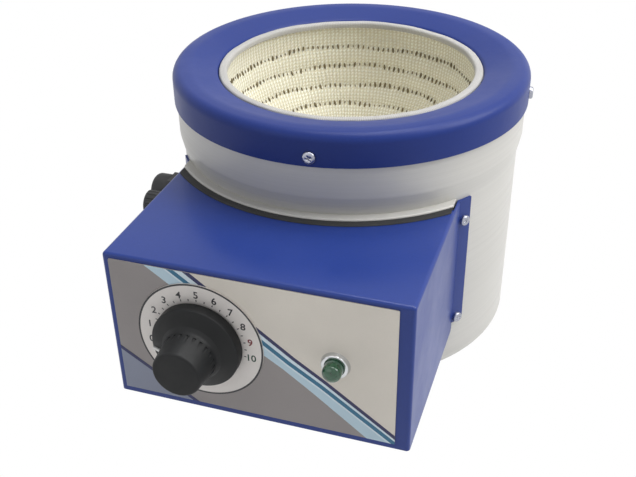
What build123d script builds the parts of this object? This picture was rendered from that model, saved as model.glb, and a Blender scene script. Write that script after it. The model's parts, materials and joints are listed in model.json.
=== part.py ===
from build123d import *
import math
import os

# Laboratory heating mantle for a round flask: a spun steel body with a pressed lid, a knitted heating nest
# inside it, and a folded control box hung on its front. Millimetres, +Z up, controls towards -Y. The model is
# drawn round the body's axis and then moved so that the middle of its footprint on the bench is the origin.

# ---- nest ----
nest_r = 68.0              # inside of the knitted bowl
nest_drop = 12.0           # crown down to the centre of the bowl
fabric_thickness = 5.0
element_thickness = 1.2
wool_thickness = 7.8
bowl_sheet = 1.0
ridge_height = 0.9         # coils of the heating cord that swell the cloth
ridge_pitch = 11.5
ridge_start = 7.0
rim_overhang = 1.6         # hem of the cloth inside the bowl's edge
rim_height = 3.4
rim_round = 1.3
terminal_r = 6.0
terminal_drop = 8.0        # terminal below the support bowl

# ---- body and lid ----
foot_height = 4.0          # bench to the underside of the body
body_height = 146.0        # underside of the body to the lid's crown
body_gap = 9.0             # support bowl to the outside of the wall
collar_step = 2.1          # collar outside the wall
collar_rise = 11.0         # box's top up to the collar's lower end
collar_taper = 10.0        # height over which the collar draws in
collar_blend = 8.0
collar_turn = 5.7          # turned-in top of the wall
body_sheet = 1.2
bottom_flange = 8.5        # inward turn at the foot of the wall
bottom_bend = 2.0
lid_gap = 0.2              # lid outside the collar
lid_sheet = 1.2
lid_skirt = 17.0           # crown down to the skirt's edge
lid_corner = 5.0           # outside radius of the rolled edge
lid_flat = 9.5             # lid's edge in to where the crown starts to dish
lid_blend = 14.0
mouth_margin = 3.0         # mouth outside the bowl
mouth_drop = 4.0           # dish, crown down to the mouth
mouth_roll = 2.4
mouth_lip = 6.8            # crown down to the lip's edge
bowl_flange_gap = 2.9      # flange of the support bowl inside the collar
lid_screw_angle = -85.0
lid_screw_drop = 12.0      # crown down to the lid screws
lid_screw_count = 4

# ---- base ----
base_sheet = 1.5
base_clear = 1.0           # base plate inside the wall
vent_count = 8
vent_width = 4.0
vent_length = 16.0
vent_inset = 44.0          # wall in to the middle of the vents
base_screw_inset = 4.6
base_screw_count = 4
foot_r = 8.0
foot_top_r = 7.0
foot_inset = 19.0
foot_stem_r = 2.9
foot_stem = 3.5
foot_count = 4
earth_r = 2.0
earth_height = 12.0
earth_inset = 32.0
earth_nut_flats = 7.0
earth_nut = 2.4

# ---- control box ----
box_width = 147.0
box_reach = 59.0           # wall to the front face
box_lift = 20.0            # underside of the box above the underside of the body
box_height = 81.0
box_sheet = 1.2
box_bend = 1.8
cut_clear = 6.5            # slot between the box top and the body
return_flange = 8.0
flange_length = 6.0        # ear that lies on the body, along its curve
flange_short = 6.0         # ear stops this much above the bottom edge
ear_screw_inset = 1.9      # screw behind the side panel's bend, along the curve
ear_screw_top = 12.0       # box top down to the upper ear screw
ear_screw_bottom = 9.0     # box bottom up to the lower ear screw
ear_head_r = 2.8
tray_clear = 0.6
slot_count = 9
slot_width = 2.5
slot_length = 26.0
slot_pitch = 7.0
slot_inset = 29.0          # front face back to the middle of the slots
box_screw_inset = 5.0
box_screw_front = 11.0
box_screw_back = 71.0
box_screw_count = 4
seal_thickness = 2.6       # rubber strip that closes the slot round the body
seal_grip = 2.4            # strip's hold on the sheet's edge
seal_groove = 0.05         # strip clear of the sheet it grips
seal_round = 0.8

# ---- front panel ----
label_left = 3.4
label_right = 6.9
label_top = 2.4
label_bottom = 3.2
label_sheet = 0.5
label_corner = 1.0
dial_inset = 46.6          # left edge of the box to the dial's centre
dial_drop = 39.1           # box top down to the dial's centre
dial_r = 31.3
dial_sheet = 0.8
lamp_inset = 35.0          # right edge of the box to the lamp
lamp_drop = 38.0

# ---- regulator, spindle and knob ----
spindle_r = 3.0
bush_r = 4.75
bush_out = 2.6             # bush beyond the dial
nut_flats = 13.0
nut_height = 2.2
nut_turn = 15.0
regulator_size = 38.0
regulator_depth = 30.0
regulator_round = 2.5
tab_width = 6.3
tab_length = 8.0
tab_sheet = 0.8
tab_count = 3
spindle_in = 11.0
spindle_flat = 1.0
knob_gap = 0.8
knob_skirt_r = 21.5
knob_edge = 5.4
knob_cone = 3.2
knob_grip_root_r = 14.8
knob_grip_r = 13.2
knob_tip_r = 11.6
knob_height = 26.0         # dial to the knob's face
knob_tip_round = 1.2
knob_shell = 2.4
flute_count = 24
flute_r = 1.1
flute_start = 13.0
rest_angle = 190.0         # pointer at zero, counter-clockwise from +X seen from the front
pointer_width = 1.4
pointer_depth = 0.8
pointer_margin = 0.6

# ---- indicator lamp ----
lens_r = 4.5
lens_out = 9.0
bezel_r = 7.0
bezel_height = 2.2
lamp_body_r = 5.9
lamp_body_length = 24.0
lamp_tab_pitch = 5.0
lamp_tab_width = 4.8
lamp_tab_length = 6.0
lamp_nut_flats = 16.0

# ---- side fittings ----
fuse_pitch = 17.5          # fuse in front of the gland
fuse_drop = 10.0
fuse_body_r = 5.9
fuse_body_length = 29.0
fuse_floor = 2.5
fuse_flange_r = 7.6
fuse_flange_height = 1.6
fuse_cap_r = 6.8
fuse_cap_height = 7.4
fuse_stem_r = 4.0
fuse_stem = 11.5
fuse_grip = 5.0            # link inside the cap's stem
fuse_link_r = 2.5
fuse_link_length = 20.0
fuse_nut_flats = 14.0
grip_count = 16
grip_groove_r = 0.7
coin_width = 1.4           # screwdriver slot in the cap
coin_depth = 1.0
gland_clear = 1.0          # thread's inner end clear of the body
gland_drop = 11.5
gland_thread_r = 6.0
gland_thread = 4.2
gland_bore_r = 4.0
gland_hex = 17.0
gland_hex_height = 4.0
gland_cap_r = 8.5
gland_cap_height = 9.5
gland_nut_flats = 16.0
nut_thickness = 3.0

# ---- wiring ----
grommet_hole_r = 6.5
grommet_flange_r = 8.5
grommet_bore_r = 4.3
grommet_lip = 1.6
grommet_height = 56.0      # above the underside of the body
block_width = 30.0
block_depth = 16.0
block_height = 14.0
block_reach = 24.0         # wall to the middle of the terminal block
block_well_r = 2.6
block_well = 2.5
lead_r = 1.4
lead_bend = 8.0
lead_turn = 3.0            # radius of the leads' short bends
lead_gate = 1.9            # leads beside the middle of the grommet

# ---- fasteners and clearances ----
screw_r = 1.5
screw_head_r = 3.2
screw_head = 1.9
screw_length = 6.0
recess_width = 0.8
fit_clear = 0.05           # shafts, plugs and sleeves in their holes
hole_clear = 0.3           # screws and bushes through sheet
rim_clear = 0.2            # fabric rim inside the lid's mouth and under its lip
cut_reach = 5.0            # how far a cutter runs on beyond what it cuts

os.makedirs("parts", exist_ok=True)

# ---- levels and places that follow ----
element_r = nest_r + fabric_thickness
wool_r = element_r + element_thickness
bowl_r = wool_r + wool_thickness
bowl_outer_r = bowl_r + bowl_sheet
body_r = bowl_outer_r + body_gap
collar_r = body_r + collar_step
ridge_count = int((math.pi / 2 * nest_r - ridge_start) / ridge_pitch)
lid_r = collar_r + lid_gap + lid_sheet
mouth_r = nest_r + mouth_margin
z_body = foot_height
z_crown = z_body + body_height
z_under_lid = z_crown - lid_sheet
z_floor_plate = z_body + body_sheet
z_rim = z_crown - mouth_lip - rim_clear
z_nest = z_crown - nest_drop
z_box = z_body + box_lift
z_box_top = z_box + box_height
z_grommet = z_body + grommet_height
y_panel = -body_r - box_reach
y_label = y_panel - label_sheet
y_dial = y_label - dial_sheet
x_side = box_width / 2
x_dial = dial_inset - x_side
z_dial = z_box_top - dial_drop
x_lamp = x_side - lamp_inset
z_lamp = z_box_top - lamp_drop
y_block = -body_r - block_reach
ear_r = body_r + box_sheet
side_back = -math.sqrt(body_r ** 2 - x_side ** 2)
ear_corner = math.degrees(math.asin(-side_back / body_r))
ear_end = ear_corner - math.degrees(flange_length / body_r)
ear_screw_angle = ear_corner - math.degrees(ear_screw_inset / body_r)
thread_end = x_side - box_sheet - gland_thread
y_gland = -math.sqrt((body_r + gland_clear) ** 2 - thread_end ** 2) - gland_thread_r - gland_clear
y_fuse = y_gland - fuse_pitch
z_fuse = z_box_top - fuse_drop
z_gland = z_box_top - gland_drop
base_screw_r = body_r - base_screw_inset
foot_pitch_r = body_r - foot_inset
earth_pitch_r = body_r - earth_inset
y_middle = (knob_height - y_dial - lid_r - screw_head) / 2
PLACE = Location((0, y_middle, 0))


def polar(r, angle):
    return r * math.cos(math.radians(angle)), r * math.sin(math.radians(angle))


def spun(points, radii):
    """Solid of revolution round Z from (radius, height) points with a radius at each corner."""
    edge = FilletPolyline([(r, 0, z) for r, z in points], radius=radii, close=True)
    return revolve(make_face(edge), Axis.Z)


def sheet_path(points, radii, thickness):
    """Section of a sheet bent along the points; the sheet lies on the right of the way they run."""
    turns = []
    inner = []
    for i, (r, z) in enumerate(points):
        before = points[max(i - 1, 0)]
        after = points[min(i + 1, len(points) - 1)]
        start = Vector(r - before[0], z - before[1]) if i else Vector(after[0] - r, after[1] - z)
        end = Vector(after[0] - r, after[1] - z) if i < len(points) - 1 else start
        start = start.normalized()
        end = end.normalized()
        turn = start.X * end.Y - start.Y * end.X
        share = thickness / (1 + start.dot(end))
        inner.append((r + share * (start.Y + end.Y), z - share * (start.X + end.X)))
        turns.append(turn)
    offset_radii = [
        radius + (thickness if turns[i + 1] > 0 else -thickness) for i, radius in enumerate(radii)
    ]
    outside = FilletPolyline([(r, 0, z) for r, z in points], radius=radii)
    inside = FilletPolyline([(r, 0, z) for r, z in inner], radius=offset_radii)
    ends = [Line(outside @ 0, inside @ 0), Line(outside @ 1, inside @ 1)]
    return make_face(outside.edges() + inside.edges() + ends[0].edges() + ends[1].edges())


def bowl_section(inner, thickness, top, floor_r=0.0):
    """Half section of a round-bottomed bowl with straight sides above its centre, from the radius floor_r."""
    outer = inner + thickness
    low_in = -math.sqrt(inner ** 2 - floor_r ** 2)
    low_out = -math.sqrt(outer ** 2 - floor_r ** 2)
    mid = math.radians(-45)
    section = [
        ThreePointArc(
            (floor_r, 0, z_nest + low_in),
            (inner * math.cos(mid), 0, z_nest + inner * math.sin(mid)),
            (inner, 0, z_nest),
        ),
        Line((inner, 0, z_nest), (inner, 0, top)),
        Line((inner, 0, top), (outer, 0, top)),
        Line((outer, 0, top), (outer, 0, z_nest)),
        ThreePointArc(
            (outer, 0, z_nest),
            (outer * math.cos(mid), 0, z_nest + outer * math.sin(mid)),
            (floor_r, 0, z_nest + low_out),
        ),
        Line((floor_r, 0, z_nest + low_out), (floor_r, 0, z_nest + low_in)),
    ]
    return make_face([edge for line in section for edge in line.edges()])


def hole(r, point, direction, reach=cut_reach):
    """Cutter centred on the point that runs the reach both ways."""
    return Plane(point, z_dir=direction) * Cylinder(r, 2 * reach)


def rod(r, length, base, direction):
    """Round bar from the point base along the direction."""
    return Plane(base, z_dir=direction) * Cylinder(r, length, align=(Align.CENTER, Align.CENTER, Align.MIN))


def hexagon(flats, length, base, direction, turn=0.0):
    plane = Plane(base, z_dir=direction)
    return plane * extrude(RegularPolygon(flats / 2, 6, major_radius=False, rotation=turn), length)


def pan_screw(base, direction, grip, head_r=screw_head_r, head=screw_head, shank_r=screw_r):
    """Pan head screw whose head sits on the point base and whose shank runs the grip length behind it."""
    outward = Vector(*direction)
    profile = FilletPolyline(
        (0, 0, 0), (head_r, 0, 0), (head_r, 0, head), (0, 0, head), radius=[0, head * 0.6]
    )
    half = make_face(profile.edges() + Line((0, 0, head), (0, 0, 0)).edges())
    top = Plane(base, z_dir=outward) * revolve(half, Axis.Z)
    slot = Box(head_r * 1.1, recess_width, head * 0.8) + Box(recess_width, head_r * 1.1, head * 0.8)
    return top - Plane(base, z_dir=outward) * Pos(0, 0, head) * slot + rod(shank_r, grip, base, -outward)


def around(count, start):
    return [start + i * 360 / count for i in range(count)]


# ---- body ----
def lid_screw_places():
    z = z_crown - lid_screw_drop
    return [(a, z) for a in around(lid_screw_count, lid_screw_angle)]


def ear_screw_places():
    levels = [z_box_top - ear_screw_top, z_box + ear_screw_bottom]
    return [(side, z) for side in (1, -1) for z in levels]


def radial(angle, z, r):
    x, y = polar(r, angle)
    dx, dy = polar(1, angle)
    return (x, y, z), (dx, dy, 0)


def ear_angle(side):
    return -ear_screw_angle if side > 0 else -180 + ear_screw_angle


def outer_shell():
    z_collar = z_box_top + collar_rise
    points = [
        (body_r - bottom_flange, z_body),
        (body_r, z_body),
        (body_r, z_collar - collar_taper),
        (collar_r, z_collar),
        (collar_r, z_under_lid),
        (collar_r - collar_turn, z_under_lid),
    ]
    # run from the crown down, so that the sheet lies inside the wall
    radii = [bottom_bend, collar_blend, collar_blend, lid_corner - lid_sheet]
    shell = revolve(sheet_path(points[::-1], radii[::-1], body_sheet), Axis.Z)
    for angle, z in lid_screw_places():
        shell -= hole(screw_r + fit_clear, *radial(angle, z, collar_r))
    for side, z in ear_screw_places():
        shell -= hole(screw_r + fit_clear, *radial(ear_angle(side), z, body_r))
    for angle in around(base_screw_count, 45):
        shell -= hole(screw_r + hole_clear, (*polar(base_screw_r, angle), z_body), (0, 0, 1), 2 * body_sheet)
    return shell - hole(grommet_hole_r, (0, -body_r, z_grommet), (0, -1, 0))


def lid_ring():
    points = [
        (lid_r, z_crown - lid_skirt),
        (lid_r, z_crown),
        (lid_r - lid_flat, z_crown),
        (mouth_r, z_crown - mouth_drop),
        (mouth_r, z_crown - mouth_lip),
    ]
    section = sheet_path(points[::-1], [mouth_roll, lid_blend, lid_corner], lid_sheet)
    ring = revolve(section, Axis.Z)
    for angle, z in lid_screw_places():
        ring -= hole(screw_r + hole_clear, *radial(angle, z, lid_r))
    return ring


def lid_screw(index):
    angle, z = lid_screw_places()[index]
    base, out = radial(angle, z, lid_r)
    return pan_screw(base, out, screw_length)


# ---- nest ----
def nest_rim():
    wide = mouth_r - rim_clear
    narrow = nest_r - rim_overhang
    top = z_rim + rim_height
    points = [(narrow, z_rim), (wide, z_rim), (wide, top), (narrow, top)]
    return spun(points, [0, 0, rim_round, rim_round])


def nest_spot(r, angle):
    """Point of the nest's section, by its distance from the bowl's centre and its angle below the level."""
    x, z = polar(r, -angle)
    return x, 0, z_nest + z


def nest_fabric():
    """Knitted bowl whose inner face swells in rings over the coils of the heating cord."""
    outer = nest_r + fabric_thickness
    pitch = math.degrees(ridge_pitch / nest_r)
    first = math.degrees(ridge_start / nest_r)
    last = first + ridge_count * pitch
    arcs = [(nest_r, 0, first / 2, first)]
    for i in range(ridge_count):
        low = first + i * pitch
        arcs.append((nest_r - ridge_height, low, low + pitch / 2, low + pitch))
    arcs.append((nest_r, last, (last + 90) / 2, 90))
    section = [
        ThreePointArc(nest_spot(nest_r, start), nest_spot(middle_r, middle), nest_spot(nest_r, end))
        for middle_r, start, middle, end in arcs
    ]
    section += [
        ThreePointArc(nest_spot(outer, 0), nest_spot(outer, 45), nest_spot(outer, 90)),
        Polyline(nest_spot(nest_r, 0), (nest_r, 0, z_rim), (outer, 0, z_rim), nest_spot(outer, 0)),
        Line(nest_spot(nest_r, 90), nest_spot(outer, 90)),
    ]
    return revolve(make_face([edge for line in section for edge in line.edges()]), Axis.Z)


def heating_element():
    return revolve(bowl_section(element_r, element_thickness, z_rim), Axis.Z)


def insulation():
    return revolve(bowl_section(wool_r, wool_thickness, z_rim, terminal_r + fit_clear), Axis.Z)


def support_bowl():
    top = z_under_lid - body_sheet
    bowl = revolve(bowl_section(bowl_r, bowl_sheet, top, terminal_r + fit_clear), Axis.Z)
    flange = Pos(0, 0, top - bowl_sheet) * Cylinder(
        collar_r - body_sheet - bowl_flange_gap, bowl_sheet, align=(Align.CENTER, Align.CENTER, Align.MIN)
    )
    return bowl + (flange - Pos(0, 0, top) * Cylinder(bowl_r + bowl_sheet / 2, 4 * bowl_sheet))


def element_terminal():
    low = z_nest - bowl_outer_r - terminal_drop
    post = Pos(0, 0, low) * Cylinder(
        terminal_r, z_nest - element_r - low, align=(Align.CENTER, Align.CENTER, Align.MIN)
    )
    return post - Pos(0, 0, z_nest) * Sphere(wool_r)


# ---- base ----
def base_plate():
    disc = Pos(0, 0, z_floor_plate) * Cylinder(
        body_r - body_sheet - base_clear, base_sheet, align=(Align.CENTER, Align.CENTER, Align.MIN)
    )
    slot = extrude(SlotOverall(vent_length, vent_width), base_sheet * 4)
    disc -= Pos(0, 0, z_floor_plate - base_sheet) * PolarLocations(body_r - vent_inset, vent_count) * slot
    for angle in around(base_screw_count, 45):
        disc -= hole(screw_r + fit_clear, (*polar(base_screw_r, angle), z_floor_plate), (0, 0, 1))
    for angle in around(foot_count, 45):
        disc -= hole(foot_stem_r + fit_clear, (*polar(foot_pitch_r, angle), z_floor_plate), (0, 0, 1))
    return disc - hole(earth_r + fit_clear, (0, -earth_pitch_r, z_floor_plate), (0, 0, 1))


def base_screw(index):
    x, y = polar(base_screw_r, around(base_screw_count, 45)[index])
    return pan_screw((x, y, z_body), (0, 0, -1), screw_length)


def foot(index):
    x, y = polar(foot_pitch_r, around(foot_count, 45)[index])
    stem = z_floor_plate + foot_stem
    points = [
        (0, 0),
        (foot_r, 0),
        (foot_top_r, z_floor_plate),
        (foot_stem_r, z_floor_plate),
        (foot_stem_r, stem),
        (0, stem),
    ]
    return Pos(x, y, 0) * spun(points, [0, 0.8, 0, 0, 0.5, 0])


def earth_stud():
    base = (0, -earth_pitch_r, z_floor_plate)
    stud = rod(earth_r, earth_height, base, (0, 0, 1))
    return stud + hexagon(earth_nut_flats, earth_nut, (0, -earth_pitch_r, z_floor_plate + base_sheet), (0, 0, 1))


# ---- control box ----
def box_plan(inset, back):
    """Rectangle of the box seen from above, drawn in from the front and sides, open-ended at the back."""
    width = box_width - 2 * inset
    depth = back - y_panel - inset
    return Pos(0, back - depth / 2) * Rectangle(width, depth)


def box_cover():
    back = side_back + flange_length
    low = z_box + box_sheet
    outside = extrude(Pos(0, 0, low) * box_plan(0, back), z_box_top - low)
    front_edges = outside.edges().filter_by(Axis.Z).group_by(Axis.Y)[0]
    top_edges = outside.faces().sort_by(Axis.Z)[-1].edges()
    top_edges = ShapeList([e for e in top_edges if e.center().Y < back - 1])
    outside = fillet(ShapeList(front_edges + top_edges), box_bend)
    inside = extrude(Pos(0, 0, low - 1) * box_plan(box_sheet, back + 5), z_box_top - box_sheet - low + 1)
    front_edges = inside.edges().filter_by(Axis.Z).group_by(Axis.Y)[0]
    top_edges = inside.faces().sort_by(Axis.Z)[-1].edges()
    top_edges = ShapeList([e for e in top_edges if e.center().Y < back + 4])
    inside = fillet(ShapeList(front_edges + top_edges), box_bend - box_sheet)
    cover = outside - inside
    inner_width = box_width - 2 * box_sheet
    round_cut = Pos(0, 0, z_box_top) * Cylinder(body_r + cut_clear, 6 * box_sheet)
    cover -= round_cut & (Pos(0, 0, z_box_top) * Box(inner_width, 4 * body_r, 8 * box_sheet))
    # return flanges that take the bottom plate
    band = box_plan(box_sheet / 2, back) - box_plan(return_flange, back + 5)
    cover += extrude(Pos(0, 0, low) * band, box_sheet)
    cover -= Pos(0, 0, z_box) * Cylinder(body_r, 4 * box_height)
    cover += ear(1) + ear(-1)
    cover -= hole(bush_r + hole_clear, (x_dial, y_panel, z_dial), (0, -1, 0))
    cover -= hole(lamp_body_r + fit_clear, (x_lamp, y_panel, z_lamp), (0, -1, 0))
    cover -= hole(fuse_body_r + fit_clear, (-x_side, y_fuse, z_fuse), (-1, 0, 0))
    cover -= hole(gland_thread_r + fit_clear, (-x_side, y_gland, z_gland), (-1, 0, 0))
    for side, z in ear_screw_places():
        cover -= hole(screw_r + hole_clear, *radial(ear_angle(side), z, ear_r), 2 * box_sheet)
    for x, y in box_screw_places():
        cover -= hole(screw_r + fit_clear, (x, y, low), (0, 0, 1))
    return cover


def ear(side):
    """Sheet ear bent off the side panel that lies on the body's wall."""
    start = -ear_corner - 4
    low = z_box + flange_short
    ring = Circle(ear_r) - Circle(body_r)
    far = 2 * body_r
    wedge = make_face(
        Polyline((0, 0), polar(far, start), polar(far, -ear_end), (0, 0)).edges()
    )
    clip = Pos(x_side - box_sheet + far / 2, 0) * Rectangle(far, 2 * far)
    plate = extrude(Pos(0, 0, low) * (ring & wedge & clip), z_box_top - low)
    return plate if side > 0 else mirror(plate, Plane.YZ)


def box_screw_places():
    ys = [y_panel + box_screw_front, y_panel + box_screw_back]
    return [(x, y) for x in (x_side - box_screw_inset, box_screw_inset - x_side) for y in ys]


def top_seal():
    """Rubber strip pushed on the cut edge of the box's top, reaching to the body's wall."""
    edge = body_r + cut_clear
    middle = z_box_top - box_sheet / 2
    low = middle - seal_thickness / 2
    high = middle + seal_thickness / 2
    points = [(body_r + fit_clear, low), (edge + seal_grip, low), (edge + seal_grip, high), (body_r + fit_clear, high)]
    strip = spun(points, [0, seal_round, seal_round, 0])
    groove = Pos(0, 0, middle) * Cylinder(2 * edge, box_sheet + 2 * seal_groove)
    strip -= groove - Pos(0, 0, middle) * Cylinder(edge - seal_groove, 2 * seal_thickness)
    room = box_width - 2 * (box_bend + seal_groove)
    return strip & (Pos(0, -body_r, middle) * Box(room, 2 * body_r, 4 * seal_thickness))


def box_base():
    plan = box_plan(0, side_back + tray_clear)
    plate = extrude(Pos(0, 0, z_box) * plan, box_sheet)
    plate -= Pos(0, 0, z_box) * Cylinder(body_r + tray_clear, 4 * box_sheet)
    edges = plate.edges().filter_by(Axis.Z).group_by(Axis.Y)[0]
    plate = fillet(edges, box_bend)
    slot = extrude(SlotOverall(slot_length, slot_width, rotation=90), 4 * box_sheet)
    row = GridLocations(slot_pitch, slot_length, slot_count, 1)
    plate -= Pos(0, y_panel + slot_inset, z_box - box_sheet) * row * slot
    for x, y in box_screw_places():
        plate -= hole(screw_r + hole_clear, (x, y, z_box), (0, 0, 1))
    return plate


def box_screw(index):
    x, y = box_screw_places()[index]
    return pan_screw((x, y, z_box), (0, 0, -1), screw_length)


def flange_screw(index):
    side, z = ear_screw_places()[index]
    base, out = radial(ear_angle(side), z, ear_r)
    return pan_screw(base, out, screw_length, ear_head_r)


# ---- front panel ----
def front_label():
    left = -x_side + label_left
    right = x_side - label_right
    low = z_box + label_bottom
    high = z_box_top - label_top
    sheet = RectangleRounded(right - left, high - low, label_corner)
    plane = Plane(((left + right) / 2, y_panel, (low + high) / 2), x_dir=(1, 0, 0), z_dir=(0, -1, 0))
    plate = extrude(plane * sheet, label_sheet)
    plate -= hole(bush_r + hole_clear, (x_dial, y_panel, z_dial), (0, -1, 0))
    return plate - hole(lamp_body_r + fit_clear, (x_lamp, y_panel, z_lamp), (0, -1, 0))


def dial_plate():
    disc = rod(dial_r, dial_sheet, (x_dial, y_label, z_dial), (0, -1, 0))
    return disc - hole(bush_r + hole_clear, (x_dial, y_label, z_dial), (0, -1, 0))


# ---- regulator, spindle and knob ----
def spindle_bar(r, start, end, flat_from):
    """Round bar on the dial's axis between two distances from the dial, with a flat on its outer end."""
    bar = rod(r, end - start, (x_dial, y_dial - start, z_dial), (0, -1, 0))
    length = end - flat_from
    cut = Box(4 * r, length + 1, 2 * r)
    place = Pos(x_dial, y_dial, z_dial) * Rot(0, -rest_angle + 90, 0)
    return bar - place * Pos(0, -flat_from - (length + 1) / 2, 2 * r - spindle_flat) * cut


def regulator():
    back = y_panel + box_sheet
    body = Pos(x_dial, back + regulator_depth / 2, z_dial) * Box(
        regulator_size, regulator_depth, regulator_size
    )
    body = fillet(body.edges().filter_by(Axis.Y), regulator_round)
    body += rod(bush_r, back - y_dial + bush_out, (x_dial, back, z_dial), (0, -1, 0))
    tab = Box(tab_width, 2 * tab_length, tab_sheet)
    row = GridLocations(regulator_size / tab_count, tab_length, tab_count, 1)
    body += Pos(x_dial, back + regulator_depth, z_dial - regulator_size / 4) * row * tab
    reach = back - y_dial + spindle_in + bush_out + cut_reach
    return body - rod(spindle_r + fit_clear, reach, (x_dial, back + spindle_in, z_dial), (0, -1, 0))


def spindle():
    inner = y_dial - (y_panel + box_sheet) - spindle_in + 1
    return spindle_bar(spindle_r, inner, knob_height - knob_shell, bush_out + 3)


def bush_nut():
    nut = hexagon(nut_flats, nut_height, (x_dial, y_dial, z_dial), (0, -1, 0), nut_turn)
    return nut - hole(bush_r + fit_clear, (x_dial, y_dial, z_dial), (0, -1, 0))


def knob_outline(shift=0.0):
    """Half section of the knob's outside, with its skirt's cone raised or lowered by shift."""
    cone_top = knob_gap + knob_edge + knob_cone + shift
    edge = knob_gap + knob_edge + shift
    points = [
        (0, knob_gap),
        (knob_skirt_r, knob_gap),
        (knob_skirt_r, edge),
        (knob_grip_root_r, cone_top),
        (knob_grip_r, cone_top + 2),
        (knob_tip_r, knob_height),
        (0, knob_height),
    ]
    return spun(points, [0, 0.3, 0.8, 0.9, 3.0, knob_tip_round, 0])


def on_dial(shape):
    """Turns a shape drawn round +Z into place on the dial's axis, its +X towards the pointer's rest."""
    return Plane((x_dial, y_dial, z_dial), x_dir=(1, 0, 0), z_dir=(0, -1, 0)) * Rot(0, 0, rest_angle) * shape


def pointer_slab():
    length = knob_skirt_r - knob_grip_root_r - 2 * pointer_margin
    middle = (knob_skirt_r + knob_grip_root_r) / 2
    slope = math.degrees(math.atan2(knob_cone, knob_skirt_r - knob_grip_root_r))
    height = knob_gap + knob_edge + knob_cone / 2
    place = Pos(middle, 0, height) * Rot(0, slope, 0)
    return place * Box(length, pointer_width, 2 * pointer_depth)


def knob():
    body = knob_outline()
    top = knob_height - knob_shell
    hollow = Pos(0, 0, -1) * Cylinder(
        knob_grip_r - knob_shell, knob_gap + bush_out + 2.4, align=(Align.CENTER, Align.CENTER, Align.MIN)
    )
    hollow += Pos(0, 0, -1) * Cylinder(
        knob_skirt_r - knob_shell, knob_gap + 1.9, align=(Align.CENTER, Align.CENTER, Align.MIN)
    )
    body -= hollow
    flute = Pos(0, 0, flute_start) * Cylinder(
        flute_r, knob_height, align=(Align.CENTER, Align.CENTER, Align.MIN)
    )
    body -= PolarLocations(knob_grip_r + flute_r * 0.45, flute_count) * flute
    body = on_dial(body - pointer_slab())
    return body - spindle_bar(spindle_r, -1, top, bush_out + 3)


def knob_pointer():
    return on_dial(pointer_slab())


# ---- indicator lamp ----
def on_lamp(r_and_heights, radii):
    return Plane((x_lamp, y_label, z_lamp), x_dir=(1, 0, 0), z_dir=(0, -1, 0)) * spun(r_and_heights, radii)


def lamp_lens():
    return on_lamp([(0, 0), (lens_r, 0), (lens_r, lens_out), (0, lens_out)], [0, 0, lens_r * 0.75, 0])


def lamp_bezel():
    inner = lens_r + fit_clear
    points = [(inner, 0), (bezel_r, 0), (bezel_r - 0.8, bezel_height), (inner, bezel_height)]
    return on_lamp(points, [0, 0, 0.6, 0.5])


def lamp_body():
    body = rod(lamp_body_r, lamp_body_length, (x_lamp, y_label, z_lamp), (0, 1, 0))
    tab = Box(tab_sheet, 2 * lamp_tab_length, lamp_tab_width)
    row = GridLocations(lamp_tab_pitch, lamp_tab_length, 2, 1)
    return body + Pos(x_lamp, y_label + lamp_body_length, z_lamp) * row * tab


def lamp_nut():
    nut = hexagon(lamp_nut_flats, nut_thickness, (x_lamp, y_panel + box_sheet, z_lamp), (0, 1, 0))
    return nut - hole(lamp_body_r + fit_clear, (x_lamp, y_panel + box_sheet, z_lamp), (0, 1, 0))


# ---- side fittings ----
def on_side(y, z):
    return Plane((-x_side, y, z), x_dir=(0, 1, 0), z_dir=(-1, 0, 0))


def fuse_holder():
    bore = fuse_stem_r + fit_clear
    outline = [
        (bore, fuse_flange_height),
        (bore, -fuse_body_length + fuse_floor),
        (0, -fuse_body_length + fuse_floor),
        (0, -fuse_body_length),
        (fuse_body_r, -fuse_body_length),
        (fuse_body_r, 0),
        (fuse_flange_r, 0),
        (fuse_flange_r, fuse_flange_height),
    ]
    return on_side(y_fuse, z_fuse) * spun(outline, [0, 0, 0, 0, 0.6, 0, 0, 0.6])


def fuse_cap():
    base = fuse_flange_height
    link = base - fuse_stem
    outline = [
        (0, link),
        (fuse_stem_r, link),
        (fuse_stem_r, base),
        (fuse_cap_r, base),
        (fuse_cap_r, base + fuse_cap_height),
        (0, base + fuse_cap_height),
    ]
    cap = spun(outline, [0, 0, 0, 0, 1.0, 0])
    cap -= Pos(0, 0, base + fuse_cap_height) * Box(fuse_cap_r * 1.3, coin_width, 2 * coin_depth)
    groove = Pos(0, 0, base + coin_depth) * Cylinder(
        grip_groove_r, 2 * fuse_cap_height, align=(Align.CENTER, Align.CENTER, Align.MIN)
    )
    cap -= PolarLocations(fuse_cap_r + grip_groove_r / 3, grip_count) * groove
    cap -= Pos(0, 0, link) * Cylinder(fuse_link_r, 2 * fuse_grip)
    return on_side(y_fuse, z_fuse) * cap


def fuse_link():
    top = fuse_flange_height - fuse_stem + fuse_grip
    return on_side(y_fuse, z_fuse) * Pos(0, 0, top - fuse_link_length) * Cylinder(
        fuse_link_r, fuse_link_length, align=(Align.CENTER, Align.CENTER, Align.MIN)
    )


def side_nut(y, z, flats, hole_r):
    nut = extrude(RegularPolygon(flats / 2, 6, major_radius=False), nut_thickness)
    nut -= Cylinder(hole_r + fit_clear, 4 * nut_thickness)
    return on_side(y, z) * Pos(0, 0, -box_sheet - nut_thickness) * nut


def fuse_nut():
    return side_nut(y_fuse, z_fuse, fuse_nut_flats, fuse_body_r)


def gland_nut():
    return side_nut(y_gland, z_gland, gland_nut_flats, gland_thread_r)


def gland_body():
    hexed = extrude(RegularPolygon(gland_hex / 2, 6, major_radius=False), gland_hex_height)
    body = hexed + Pos(0, 0, -box_sheet - gland_thread) * Cylinder(
        gland_thread_r, box_sheet + gland_thread, align=(Align.CENTER, Align.CENTER, Align.MIN)
    )
    return on_side(y_gland, z_gland) * (body - Cylinder(gland_bore_r, 4 * gland_thread))


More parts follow.
